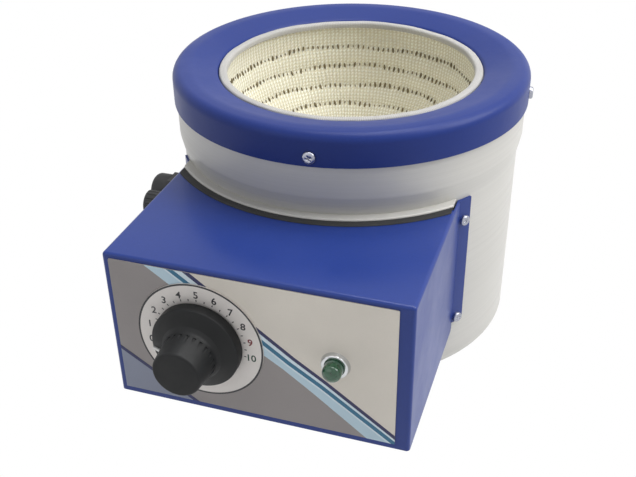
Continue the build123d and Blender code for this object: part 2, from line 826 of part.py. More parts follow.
def gland_cap():
    low = gland_hex_height
    high = low + gland_cap_height
    points = [(gland_bore_r, low), (gland_cap_r, low), (gland_cap_r, high), (gland_bore_r, high)]
    return on_side(y_gland, z_gland) * spun(points, [0, 0.4, 3.2, 0.5])


# ---- wiring ----
def grommet():
    inner = -body_r + body_sheet
    plane = Plane((0, inner, z_grommet), x_dir=(1, 0, 0), z_dir=(0, -1, 0))
    points = [
        (grommet_bore_r, -grommet_lip),
        (grommet_flange_r, -grommet_lip),
        (grommet_flange_r, 0),
        (grommet_hole_r - fit_clear, 0),
        (grommet_hole_r - fit_clear, body_sheet),
        (grommet_flange_r, body_sheet),
        (grommet_flange_r, body_sheet + grommet_lip),
        (grommet_bore_r, body_sheet + grommet_lip),
    ]
    body = plane * spun(points, [0.5, 0.5, 0, 0, 0, 0, 0.5, 0.5])
    shell = Cylinder(body_r, 2 * body_height) - Cylinder(body_r - body_sheet, 2 * body_height)
    return body - (shell - hole(grommet_hole_r - fit_clear, (0, inner, z_grommet), (0, -1, 0)))


def terminal_block():
    low = z_box + box_sheet
    block = Pos(0, y_block, low + block_height / 2) * Box(block_width, block_depth, block_height)
    block = fillet(block.edges().filter_by(Axis.Z), screw_r)
    top = Pos(0, y_block, low + block_height)
    pitch = block_width / 3
    block -= top * GridLocations(pitch, pitch, 3, 1) * Cylinder(block_well_r, 2 * block_well)
    return block - top * GridLocations(pitch, pitch, 2, 1) * Box(recess_width, 2 * block_depth, 2 * block_well)


def lead(points, bends):
    path = FilletPolyline(points, radius=bends)
    start = Plane(path @ 0, z_dir=path % 0)
    return sweep(start * Circle(lead_r), path)


def nest_lead(side):
    """Lead from the terminal block through the grommet to the ceramic terminal under the nest."""
    x = side * block_width / 3
    low = z_box + box_sheet + block_height / 2
    back = y_block + block_depth / 2
    rise = back + lead_bend - lead_r
    gate = side * lead_gate
    high = z_grommet + lead_gate / 2
    end = z_nest - bowl_outer_r - terminal_drop
    post = side * terminal_r / 2
    points = [
        (x, back, low),
        (x, rise, low),
        (gate, rise, high),
        (gate, -body_r + 3 * lead_bend, high),
        (post, -3 * lead_bend, end - 2.2 * lead_bend),
        (post, 0, end - 2 * lead_bend),
        (post, 0, end),
    ]
    return lead(points, [lead_turn, lead_turn, lead_bend, lead_bend, lead_bend])


def earth_lead():
    low = z_box + box_sheet + block_height / 2
    back = y_block + block_depth / 2
    rise = back + lead_bend + 2 * lead_r
    high = z_grommet - 2 * lead_r + fit_clear
    stud = z_floor_plate + earth_height
    points = [
        (0, back, low),
        (0, rise, low),
        (0, rise, high),
        (0, -earth_pitch_r - lead_bend, high),
        (0, -earth_pitch_r, high - lead_bend),
        (0, -earth_pitch_r, stud),
    ]
    return lead(points, [lead_turn] * 4)


def save(name, shape):
    solids = shape.solids()
    if len(solids) != 1:
        raise ValueError(f"{name} has {len(solids)} solids")
    export_step(PLACE * solids[0], f"parts/{name}.step")


SINGLE = {
    "outer_shell": outer_shell,
    "lid_ring": lid_ring,
    "nest_rim": nest_rim,
    "nest_fabric": nest_fabric,
    "heating_element": heating_element,
    "insulation": insulation,
    "support_bowl": support_bowl,
    "element_terminal": element_terminal,
    "base_plate": base_plate,
    "earth_stud": earth_stud,
    "box_cover": box_cover,
    "box_base": box_base,
    "top_seal": top_seal,
    "front_label": front_label,
    "dial_plate": dial_plate,
    "regulator": regulator,
    "spindle": spindle,
    "bush_nut": bush_nut,
    "knob": knob,
    "knob_pointer": knob_pointer,
    "lamp_lens": lamp_lens,
    "lamp_bezel": lamp_bezel,
    "lamp_body": lamp_body,
    "lamp_nut": lamp_nut,
    "fuse_holder": fuse_holder,
    "fuse_cap": fuse_cap,
    "fuse_link": fuse_link,
    "fuse_nut": fuse_nut,
    "gland_body": gland_body,
    "gland_cap": gland_cap,
    "gland_nut": gland_nut,
    "grommet": grommet,
    "terminal_block": terminal_block,
    "earth_lead": earth_lead,
}
REPEATED = {
    "lid_screw": (lid_screw, lid_screw_count),
    "base_screw": (base_screw, base_screw_count),
    "foot": (foot, foot_count),
    "box_screw": (box_screw, box_screw_count),
    "flange_screw": (flange_screw, box_screw_count),
}

for node, build in SINGLE.items():
    save(node, build())
for node, (build, count) in REPEATED.items():
    for i in range(count):
        save(f"{node}_{i + 1}", build(i))
save("live_lead", nest_lead(1))
save("neutral_lead", nest_lead(-1))
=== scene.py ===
"""Studio scene of a laboratory heating mantle, dressed over its CAD frame.

Every class is one sub-assembly of the mantle. It holds its sizes in millimetres, in the maker's own frame
(body axis at x = y = 0, bench at z = 0, controls towards -Y). Its meshes are in metres, in the row frame.
"""

import json
import logging
import math
from collections.abc import Callable
from dataclasses import dataclass, field
from enum import Enum

import bmesh
import bpy
from mathutils import Matrix, Vector

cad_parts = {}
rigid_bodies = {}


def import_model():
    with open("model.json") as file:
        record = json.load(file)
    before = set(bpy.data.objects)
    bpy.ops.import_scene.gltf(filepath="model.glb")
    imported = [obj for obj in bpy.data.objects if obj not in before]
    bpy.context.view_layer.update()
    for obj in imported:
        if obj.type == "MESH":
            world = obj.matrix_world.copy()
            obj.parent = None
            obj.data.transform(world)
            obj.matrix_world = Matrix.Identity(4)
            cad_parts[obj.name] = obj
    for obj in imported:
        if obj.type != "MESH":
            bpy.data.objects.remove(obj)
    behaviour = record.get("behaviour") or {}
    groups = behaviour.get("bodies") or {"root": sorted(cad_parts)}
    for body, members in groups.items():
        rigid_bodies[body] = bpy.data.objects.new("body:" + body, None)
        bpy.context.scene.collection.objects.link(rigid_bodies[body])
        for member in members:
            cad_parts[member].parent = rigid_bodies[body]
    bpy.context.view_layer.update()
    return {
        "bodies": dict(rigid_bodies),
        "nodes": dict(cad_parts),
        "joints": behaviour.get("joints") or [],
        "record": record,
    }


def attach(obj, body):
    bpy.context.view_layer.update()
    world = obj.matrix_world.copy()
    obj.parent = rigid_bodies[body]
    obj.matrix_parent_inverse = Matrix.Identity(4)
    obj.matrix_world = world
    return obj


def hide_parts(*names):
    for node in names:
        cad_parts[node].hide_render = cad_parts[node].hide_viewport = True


LOG = logging.getLogger("mantle")
MM = 0.001
AXIS_Y = 40.45  # the body's axis in the row frame, mm
SEGMENTS = 192


class Body(str, Enum):
    """The rigid bodies that pieces ride on."""

    MANTLE = "mantle"


class Facing(Enum):
    """Directions in which a round fitting points."""

    UP = (0.0, 0.0, 1.0)
    DOWN = (0.0, 0.0, -1.0)
    FRONT = (0.0, -1.0, 0.0)


Point2 = tuple[float, float]
Point3 = tuple[float, float, float]
Colour = tuple[float, float, float, float]
Socket = bpy.types.NodeSocket


def srgb(red: int, green: int, blue: int) -> Colour:
    """Scene-linear colour of an eight-bit display colour.

    Args:
        red: Red, 0 to 255.
        green: Green, 0 to 255.
        blue: Blue, 0 to 255.

    Returns:
        The colour with full opacity.
    """

    def linear(value: int) -> float:
        """Linear value of one channel."""
        share = value / 255
        return share / 12.92 if share <= 0.04045 else ((share + 0.055) / 1.055) ** 2.4

    return (linear(red), linear(green), linear(blue), 1.0)


def shade(colour: Colour, factor: float) -> Colour:
    """The colour made lighter or darker by a factor."""
    return tuple(min(1.0, channel * factor) for channel in colour[:3]) + (1.0,)


# ---------------------------------------------------------------- materials


class Recipe:
    """Adds and joins the shader nodes of one material."""

    def __init__(self, name: str) -> None:
        """Starts a material with its principled shader.

        Args:
            name: The material's name.
        """
        self.material = bpy.data.materials.new(name)
        self.material.use_nodes = True
        self.tree = self.material.node_tree
        self.shader = self.tree.nodes["Principled BSDF"]
        self.place = self.tree.nodes.new("ShaderNodeTexCoord").outputs["Object"]

    def set(self, **values: object) -> "Recipe":
        """Sets the shader's own sockets; an underscore in a name stands for a space."""
        for name, value in values.items():
            self.shader.inputs[name.replace("_", " ")].default_value = value
        return self

    def node(
        self, kind: str, inputs: dict[object, object] | None = None, **settings: object
    ) -> bpy.types.Node:
        """Adds one node.

        Args:
            kind: The node type without its ShaderNode prefix.
            inputs: Socket name or index to a value or to an output socket.
            **settings: Attributes of the node.

        Returns:
            The node.
        """
        made = self.tree.nodes.new("ShaderNode" + kind)
        for name, value in settings.items():
            setattr(made, name, value)
        for socket, value in (inputs or {}).items():
            if isinstance(value, Socket):
                self.tree.links.new(value, made.inputs[socket])
            else:
                made.inputs[socket].default_value = value
        return made

    def link(self, output: Socket, name: str) -> None:
        """Joins an output to a socket of the shader."""
        self.tree.links.new(output, self.shader.inputs[name])

    def math(self, operation: str, *values: object) -> Socket:
        """One math node on numbers or sockets, and its output."""
        return self.node("Math", dict(enumerate(values)), operation=operation).outputs[0]

    def noise(
        self, scale: float, detail: float = 3.0, rough: float = 0.5, stretch: Point3 = (1, 1, 1)
    ) -> Socket:
        """Noise over the piece's own place.

        Args:
            scale: Features across a metre.
            detail: Octaves.
            rough: Strength of the finer octaves.
            stretch: Factor on the place along each axis.

        Returns:
            The noise's value.
        """
        place = self.node("Mapping", {"Vector": self.place, "Scale": stretch}).outputs[0]
        found = self.node("TexNoise", {"Vector": place, "Scale": scale, "Detail": detail, "Roughness": rough})
        return found.outputs[0]

    def spread(self, value: Socket, low: float, high: float, start: float = 0.3, end: float = 0.7) -> Socket:
        """Maps a value from start..end to low..high."""
        found = self.node("MapRange", {0: value, 1: start, 2: end, 3: low, 4: high})
        return found.outputs[0]

    def mix(self, factor: object, first: object, second: object, blend: str = "MIX") -> Socket:
        """Mixes two colours and gives the result's socket."""
        made = self.node("Mix", {0: factor, 6: first, 7: second}, data_type="RGBA", blend_type=blend)
        return made.outputs[2]

    def tinted(self, colour: Colour, scale: float, detail: float, low: float, high: float) -> Socket:
        """Varies a colour softly over the piece.

        Args:
            colour: The middle colour.
            scale: Patches across a metre.
            detail: Octaves of the noise.
            low: Factor of the darkest patches.
            high: Factor of the lightest ones.

        Returns:
            The colour's socket.
        """
        cloud = self.spread(self.noise(scale, detail), 0.0, 1.0)
        return self.mix(cloud, shade(colour, low), shade(colour, high))

    def rub(self, value: Socket, low: float, high: float) -> None:
        """Varies the roughness between two limits."""
        self.link(self.spread(value, low, high), "Roughness")

    def bump(self, height: Socket, strength: float, distance: float, before: Socket | None = None) -> Socket:
        """Bump from a height, laid over an earlier bump where one is given.

        Args:
            height: The height's socket.
            strength: Share of the full effect.
            distance: Depth in metres.
            before: The normal of an earlier bump.

        Returns:
            The bumped normal.
        """
        sockets = {"Height": height, "Strength": strength, "Distance": distance}
        if before is not None:
            sockets["Normal"] = before
        return self.node("Bump", sockets).outputs[0]


@dataclass(frozen=True)
class Finish:
    """A material's name and middle colour; each kind of finish paints it in its own way."""

    name: str
    colour: Colour

    def make(self) -> bpy.types.Material:
        """Builds the material."""
        recipe = Recipe(self.name)
        self.paint(recipe)
        return recipe.material

    def paint(self, recipe: Recipe) -> None:
        """Joins the nodes of this kind of finish."""
        raise NotImplementedError


@dataclass(frozen=True)
class CoatFinish(Finish):
    """Stoved enamel: smooth colour, faint orange peel, dust and rubbed patches."""

    roughness: float = 0.32
    coat: float = 0.35
    peel: float = 0.12
    specular: float = 0.32

    def paint(self, recipe: Recipe) -> None:
        """Joins the nodes of this finish."""
        colour = recipe.tinted(self.colour, 9, 3, 0.93, 1.07)
        fine = recipe.spread(recipe.noise(900, 2), 0.0, 1.0, 0.35, 0.75)
        colour = recipe.mix(recipe.math("MULTIPLY", fine, 0.12), colour, shade(self.colour, 1.5))
        recipe.link(colour, "Base Color")
        recipe.rub(recipe.noise(30, 4, 0.6), self.roughness - 0.05, self.roughness + 0.07)
        recipe.link(recipe.bump(recipe.noise(420, 2, 0.4), self.peel, 0.0002), "Normal")
        recipe.set(Coat_Weight=self.coat, Coat_Roughness=0.16, Specular_IOR_Level=self.specular)


@dataclass(frozen=True)
class SpunFinish(Finish):
    """Spun metal wall: rings left by the tool round the axis under a thin clear coat."""

    metal: float = 0.06
    roughness: float = 0.4

    def paint(self, recipe: Recipe) -> None:
        """Joins the nodes of this finish."""
        rings = recipe.noise(60, 4, 0.65, (0.06, 0.06, 18))
        colour = recipe.tinted(self.colour, 7, 2, 0.94, 1.05)
        streak = recipe.spread(rings, 0.0, 0.22)
        recipe.link(recipe.mix(streak, colour, shade(self.colour, 0.7)), "Base Color")
        recipe.rub(rings, self.roughness - 0.07, self.roughness + 0.1)
        recipe.link(recipe.bump(rings, 0.08, 0.0002), "Normal")
        recipe.set(Metallic=self.metal, Coat_Weight=0.06, Coat_Roughness=0.2, Specular_IOR_Level=0.35)


@dataclass(frozen=True)
class PlatedFinish(Finish):
    """Plated or bright metal with fine scratches and a little tarnish."""

    roughness: float = 0.2

    def paint(self, recipe: Recipe) -> None:
        """Joins the nodes of this finish."""
        recipe.link(recipe.tinted(self.colour, 260, 3, 0.82, 1.0), "Base Color")
        scratch = recipe.noise(1500, 2, 0.5, (0.15, 1, 1))
        recipe.rub(scratch, self.roughness * 0.7, self.roughness * 1.6)
        recipe.link(recipe.bump(scratch, 0.06, 0.0001), "Normal")
        recipe.set(Metallic=1.0)


@dataclass(frozen=True)
class MouldedFinish(Finish):
    """Moulded plastic, rubber or ceramic: fine spark grain and handled sheen."""

    roughness: float = 0.42
    grain: float = 0.12
    grain_scale: float = 1600.0
    coat: float = 0.0
    specular: float = 0.5

    def paint(self, recipe: Recipe) -> None:
        """Joins the nodes of this finish."""
        recipe.link(recipe.tinted(self.colour, 45, 3, 0.86, 1.16), "Base Color")
        recipe.rub(recipe.noise(90, 4, 0.6), self.roughness - 0.07, self.roughness + 0.1)
        recipe.link(recipe.bump(recipe.noise(self.grain_scale, 2), self.grain, 0.0001), "Normal")
        recipe.set(Coat_Weight=self.coat, Coat_Roughness=0.12, Specular_IOR_Level=self.specular)


@dataclass(frozen=True)
class PrintFinish(Finish):
    """Ink on film: even colour with a slight halftone grain and rubbed spots."""

    roughness: float = 0.4

    def paint(self, recipe: Recipe) -> None:
        """Joins the nodes of this finish."""
        colour = recipe.tinted(self.colour, 28, 3, 0.95, 1.05)
        dots = recipe.spread(recipe.noise(2400, 1), 0.0, 0.1)
        recipe.link(recipe.mix(dots, colour, shade(self.colour, 0.75)), "Base Color")
        recipe.rub(recipe.noise(60, 3), self.roughness - 0.06, self.roughness + 0.08)
        recipe.link(recipe.bump(recipe.noise(700, 1), 0.03, 0.0001), "Normal")


@dataclass(frozen=True)
class KnitFinish(Finish):
    """Knitted glass yarn: wales and courses round the bowl and fuzz, with painted shade in the hollows of the
    knit.
    """

    # The darker colour, painted into the knit's hollows as shade.
    dark: Colour
    wales: int = 180
    courses_per_mm: float = 0.5
    relief: float = 0.6

    def paint(self, recipe: Recipe) -> None:
        """Follows the piece's own UV map, u round the bowl and v along its slope in mm."""
        uv = recipe.node("UVMap", uv_map="knit").outputs[0]
        parts = recipe.node("SeparateXYZ", {0: uv})
        around = recipe.math("MULTIPLY", parts.outputs[0], self.wales * 2 * math.pi)
        along = recipe.math("MULTIPLY", parts.outputs[1], self.courses_per_mm * 2 * math.pi)
        wobble = recipe.math("MULTIPLY", recipe.noise(110, 3), 5.0)
        wale = recipe.math("SINE", recipe.math("ADD", around, wobble))
        leg = recipe.math("ABSOLUTE", recipe.math("SINE", recipe.math("MULTIPLY", around, 0.5)))
        chevron = recipe.math("ADD", wobble, recipe.math("MULTIPLY", leg, 2.6))
        course = recipe.math("SINE", recipe.math("ADD", along, chevron))
        loops = recipe.math("MULTIPLY", recipe.math("ADD", wale, 1.0), recipe.math("ADD", course, 1.2))
        loops = recipe.math("MULTIPLY", loops, 0.25)
        fuzz = recipe.noise(1300, 4, 0.7)
        height = recipe.math("ADD", loops, recipe.math("MULTIPLY", fuzz, 0.6))
        # Painted shade: the lower the knit's height, the nearer the colour goes to the dark one.
        depth = recipe.spread(height, 0.0, 1.0, 0.25, 1.0)
        light = recipe.tinted(self.colour, 35, 4, 0.86, 1.06)
        recipe.link(recipe.mix(depth, self.dark, light), "Base Color")
        recipe.link(recipe.bump(height, self.relief, 0.0008), "Normal")
        recipe.set(Roughness=0.92, Sheen_Weight=0.25, Sheen_Roughness=0.5)


@dataclass(frozen=True)
class LensFinish(Finish):
    """Coloured clear moulding of the indicator lamp."""

    def paint(self, recipe: Recipe) -> None:
        """Joins the nodes of this finish."""
        recipe.link(recipe.tinted(self.colour, 300, 2, 0.7, 1.2), "Base Color")
        recipe.rub(recipe.noise(500, 2), 0.08, 0.18)
        recipe.set(Transmission_Weight=0.25, IOR=1.49, Coat_Weight=0.5, Coat_Roughness=0.06)


class Palette:
    """All finishes of the mantle, each built once."""

    def __init__(self) -> None:
        """Builds the materials."""
        self.lid = CoatFinish("lid_enamel", srgb(31, 51, 120), 0.42, 0.04, specular=0.2).make()
        self.box = CoatFinish("box_enamel", srgb(26, 52, 126), 0.36, 0.12).make()
        self.wall = SpunFinish("spun_wall", srgb(206, 204, 198)).make()
        self.zinc = PlatedFinish("zinc_sheet", srgb(170, 172, 174), 0.38).make()
        self.nickel = PlatedFinish("nickel_screws", srgb(176, 178, 190), 0.24).make()
        self.bright = PlatedFinish("bright_bezel", srgb(210, 212, 214), 0.1).make()
        self.brass = PlatedFinish("brass_stud", srgb(196, 164, 92), 0.26).make()
        self.alloy = PlatedFinish("resistance_alloy", srgb(110, 100, 96), 0.5).make()
        # The second colour of each knit is the painted shade of its hollows.
        self.knit = KnitFinish("glass_knit", srgb(252, 250, 235), srgb(218, 210, 182)).make()
        self.hem = KnitFinish("hem_knit", srgb(197, 195, 192), srgb(172, 170, 165), 420, 1.3, 0.25).make()
        self.yarn = MouldedFinish("dark_yarn", srgb(116, 106, 78), 0.9, 0.5, 2500).make()
        self.wool = MouldedFinish("mineral_wool", srgb(214, 206, 180), 0.95, 0.8, 500).make()
        self.black = MouldedFinish("black_moulding", srgb(22, 23, 25), 0.5).make()
        self.knob = MouldedFinish("knob_moulding", srgb(20, 21, 22), 0.52, 0.12, 1200, specular=0.28).make()
        self.white = MouldedFinish("white_moulding", srgb(224, 224, 220), 0.45).make()
        self.ceramic = MouldedFinish("ceramic", srgb(226, 220, 208), 0.7, 0.3).make()
        self.rubber = MouldedFinish("rubber", srgb(34, 34, 35), 0.75, 0.35, 900).make()
        self.brown = MouldedFinish("brown_sleeve", srgb(112, 66, 38), 0.6).make()
        self.blue = MouldedFinish("blue_sleeve", srgb(46, 84, 160), 0.6).make()
        self.green = MouldedFinish("green_sleeve", srgb(84, 150, 60), 0.6).make()
        self.lens = LensFinish("green_lens", srgb(40, 98, 66)).make()
        self.tube = LensFinish("fuse_tube", srgb(200, 214, 208)).make()
        self.dial = PrintFinish("dial_enamel", srgb(232, 226, 220), 0.34).make()
        self.beige = PrintFinish("ink_beige", srgb(222, 215, 203)).make()
        self.grey = PrintFinish("ink_grey", srgb(147, 141, 139)).make()
        self.mist = PrintFinish("ink_mist", srgb(134, 140, 158)).make()
        self.navy = PrintFinish("ink_navy", srgb(32, 36, 84)).make()
        self.pale = PrintFinish("ink_pale", srgb(214, 228, 236)).make()
        self.teal = PrintFinish("ink_teal", srgb(38, 108, 140)).make()
        self.cyan = PrintFinish("ink_cyan", srgb(188, 212, 224)).make()
        self.ink = PrintFinish("ink_black", srgb(38, 38, 42)).make()
        self.red = PrintFinish("ink_red", srgb(118, 34, 34)).make()
        self.dark_green = PrintFinish("ink_dark_green", srgb(34, 66, 48)).make()


# ---------------------------------------------------------------- mesh tools


def place(x: float, y: float, z: float) -> Vector:
    """Row-frame point in metres of a point in the maker's frame in millimetres."""
    return Vector((x, y + AXIS_Y, z)) * MM


def polar(radius: float, angle: float) -> Point2:
    """Point on a circle round the body's axis, angle in degrees from +X."""
    return radius * math.cos(math.radians(angle)), radius * math.sin(math.radians(angle))


def ripple(waves: tuple[Point3, ...], angle: float, row: float = 1.0) -> float:
    """Sum of sine waves round a circle, each given by its size, its number of crests and its lag per row."""
    return sum(size * math.sin(crests * angle + lag * row) for size, crests, lag in waves)


def rounded(points: list[Point2], radii: list[float], steps: int = 7, closed: bool = False) -> list[Point2]:
    """Replaces the corners of a path by arcs.

    Args:
        points: The path's corners.
        radii: One radius for each corner that is rounded; a closed path has one for every corner.
        steps: Segments of each arc.
        closed: Whether the path closes on itself.

    Returns:
        The rounded path.
    """
    found: list[Point2] = []
    count = len(points)
    for i, point in enumerate(points):
        inner = closed or 0 < i < count - 1
        radius = radii[i if closed else i - 1] if inner else 0.0
        if radius <= 0:
            found.append(point)
            continue
        here = Vector(point)
        before = (Vector(points[i - 1]) - here).normalized()
        after = (Vector(points[(i + 1) % count]) - here).normalized()
        half = before.angle(after) / 2
        reach = radius / math.tan(half)
        centre = here + (before + after).normalized() * (radius / math.sin(half))
        start = here + before * reach - centre
        turn = math.pi - 2 * half
        sign = 1 if before.x * after.y - before.y * after.x < 0 else -1
        for k in range(steps + 1):
            angle = sign * turn * k / steps
            cosine, sine = math.cos(angle), math.sin(angle)
            spot = centre + Vector((start.x * cosine - start.y * sine, start.x * sine + start.y * cosine))
            found.append((spot.x, spot.y))
    return found


def sheet_loop(points: list[Point2], radii: list[float], thickness: float) -> list[Point2]:
    """Closed outline of a bent sheet that lies on the right of the way its path runs.

    Args:
        points: Corners of the sheet's outer face.
        radii: Radius at each inner corner, on the outer face.
        thickness: The sheet's thickness.

    Returns:
        The outline.
    """
    inner: list[Point2] = []
    shift: list[float] = []
    for i, point in enumerate(points):
        ahead = Vector(points[min(i + 1, len(points) - 1)]) - Vector(points[min(i, len(points) - 2)])
        behind = Vector(points[max(i, 1)]) - Vector(points[max(i - 1, 0)])
        end = ahead.normalized()
        start = behind.normalized()
        share = thickness / (1 + start.dot(end))
        inner.append((point[0] + share * (start.y + end.y), point[1] - share * (start.x + end.x)))
        shift.append(thickness if start.x * end.y - start.y * end.x > 0 else -thickness)
    back = [radius + shift[i + 1] for i, radius in enumerate(radii)]
    return rounded(points, radii) + rounded(inner, back)[::-1]


def publish(
    name: str, mesh: bpy.types.Mesh, material: bpy.types.Material, slot: str, *nodes: str
) -> bpy.types.Object:
    """Puts a finished mesh into the scene as one piece that rides on the mantle.

    Args:
        name: The piece's name.
        mesh: Its mesh, with its place in it.
        material: Its material.
        slot: The record's material slot; not used.
        *nodes: The CAD nodes that it stands for.

    Returns:
        The object.
    """
    mesh.materials.clear()
    mesh.materials.append(material)
    piece = bpy.data.objects.new(name, mesh)
    bpy.context.scene.collection.objects.link(piece)
    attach(piece, Body.MANTLE.value)
    if nodes:
        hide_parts(*nodes)
    LOG.info("%s: %d faces", name, len(mesh.polygons))
    return piece


def finished(work: bmesh.types.BMesh, name: str, sharp: float = 40.0, turn: bool = True) -> bpy.types.Mesh:
    """Turns a bmesh into a smooth mesh with sharp edges where it bends by more than an angle.

    Args:
        work: The bmesh, which is freed.
        name: The mesh's name.
        sharp: The angle in degrees.
        turn: Whether the normals are recalculated.

    Returns:
        The mesh.
    """
    if turn:
        bmesh.ops.recalc_face_normals(work, faces=work.faces)
    limit = math.radians(sharp)
    for face in work.faces:
        face.smooth = True
    for edge in work.edges:
        edge.smooth = len(edge.link_faces) != 2 or edge.calc_face_angle(0.0) < limit
    mesh = bpy.data.meshes.new(name)
    work.to_mesh(mesh)
    work.free()
    return mesh


def baked(holder: bpy.types.Object, *helpers: bpy.types.Object) -> bpy.types.Mesh:
    """Mesh of an object with its modifiers applied; the object and its helpers are removed."""
    items = (holder, *helpers)
    for item in items:
        bpy.context.scene.collection.objects.link(item)
    view = bpy.context.evaluated_depsgraph_get()
    mesh = bpy.data.meshes.new_from_object(holder.evaluated_get(view), depsgraph=view)
    for item in items:
        bpy.data.objects.remove(item)
    return mesh


def carved(blank: bpy.types.Mesh, tool: bpy.types.Mesh, crossed: bool = False) -> bpy.types.Mesh:
    """Cuts a tool out of a blank.

    Args:
        blank: The mesh to be cut.
        tool: The mesh that cuts.
        crossed: Whether the tool's own parts pass through each other.

    Returns:
        What is left of the blank.
    """
    holder = bpy.data.objects.new(blank.name, blank)
    knife = bpy.data.objects.new(tool.name, tool)
    cut = holder.modifiers.new("cut", "BOOLEAN")
    cut.object = knife
    cut.solver = "EXACT"
    cut.use_self = crossed
    return baked(holder, knife)


def spun(profile: list[Point2], segments: int = SEGMENTS, closed: bool = True) -> bmesh.types.BMesh:
    """Spins a profile of (radius, height) points round Z; points on the axis become one pole.

    Args:
        profile: The profile, a loop where closed is set.
        segments: Divisions round the axis.
        closed: Whether the last point joins the first.

    Returns:
        The spun surface in the profile's own units.
    """
    work = bmesh.new()
    rings: list[list[bmesh.types.BMVert]] = []
    for radius, height in profile:
        if radius < 1e-6:
            rings.append([work.verts.new((0, 0, height))])
            continue
        turn = 2 * math.pi / segments
        spots = [(radius * math.cos(i * turn), radius * math.sin(i * turn), height) for i in range(segments)]
        rings.append([work.verts.new(spot) for spot in spots])
    pairs = list(zip(rings, rings[1:] + rings[:1])) if closed else list(zip(rings, rings[1:]))
    for low, high in pairs:
        for i in range(segments):
            j = (i + 1) % segments
            corners = [low[i % len(low)], low[j % len(low)], high[j % len(high)], high[i % len(high)]]
            unique = list(dict.fromkeys(corners))
            if len(unique) > 2:
                work.faces.new(unique)
    return work


def moved(work: bmesh.types.BMesh, origin: Vector, facing: Vector, spin: float = 0.0) -> bmesh.types.BMesh:
    """Carries a bmesh drawn in millimetres round +Z to a row-frame point and direction.

    Facing up also turns it half round, so a piece that isn't the same all round is placed without this.

    Args:
        work: The bmesh.
        origin: Where its origin goes, in metres.
        facing: Where its +Z goes.
        spin: Turn about its own axis first, in degrees.

    Returns:
        The same bmesh.
    """
    turn = facing.to_track_quat("Z", "Y").to_matrix().to_4x4()
    spun_first = Matrix.Rotation(math.radians(spin), 4, "Z")
    matrix = Matrix.Translation(origin) @ turn @ spun_first @ Matrix.Scale(MM, 4)
    bmesh.ops.transform(work, matrix=matrix, verts=work.verts)
    return work


def on_axis(work: bmesh.types.BMesh) -> bmesh.types.BMesh:
    """Carries a bmesh drawn in millimetres round the body's axis to the row frame."""
    return moved(work, place(0, 0, 0), Vector(Facing.UP.value))


def rectangle(left: float, right: float, low: float, high: float) -> list[Point2]:
    """Corners of a rectangle, from its lower left one round by the lower right."""
    return [(left, low), (right, low), (right, high), (left, high)]


def upright(x: float, y: float, z: float) -> Matrix:
    """Matrix of a drawing that lies on the front panel: its X to the right, its Y up, its Z forwards."""
    turn = Matrix(((1, 0, 0, 0), (0, 0, -1, 0), (0, 1, 0, 0), (0, 0, 0, 1)))
    return Matrix.Translation(place(x, y, z)) @ turn @ Matrix.Scale(MM, 4)


def slab(outline: list[Point2], thickness: float, matrix: Matrix, name: str) -> bpy.types.Mesh:
    """Flat plate of an outline, from its matrix's origin plane forwards."""
    work = bmesh.new()
    face = work.faces.new([work.verts.new((x, y, 0)) for x, y in outline])
    raised = bmesh.ops.extrude_face_region(work, geom=[face])
    top = [item for item in raised["geom"] if isinstance(item, bmesh.types.BMVert)]
    bmesh.ops.translate(work, vec=(0, 0, thickness), verts=top)
    bmesh.ops.transform(work, matrix=matrix, verts=work.verts)
    return finished(work, name, 30)


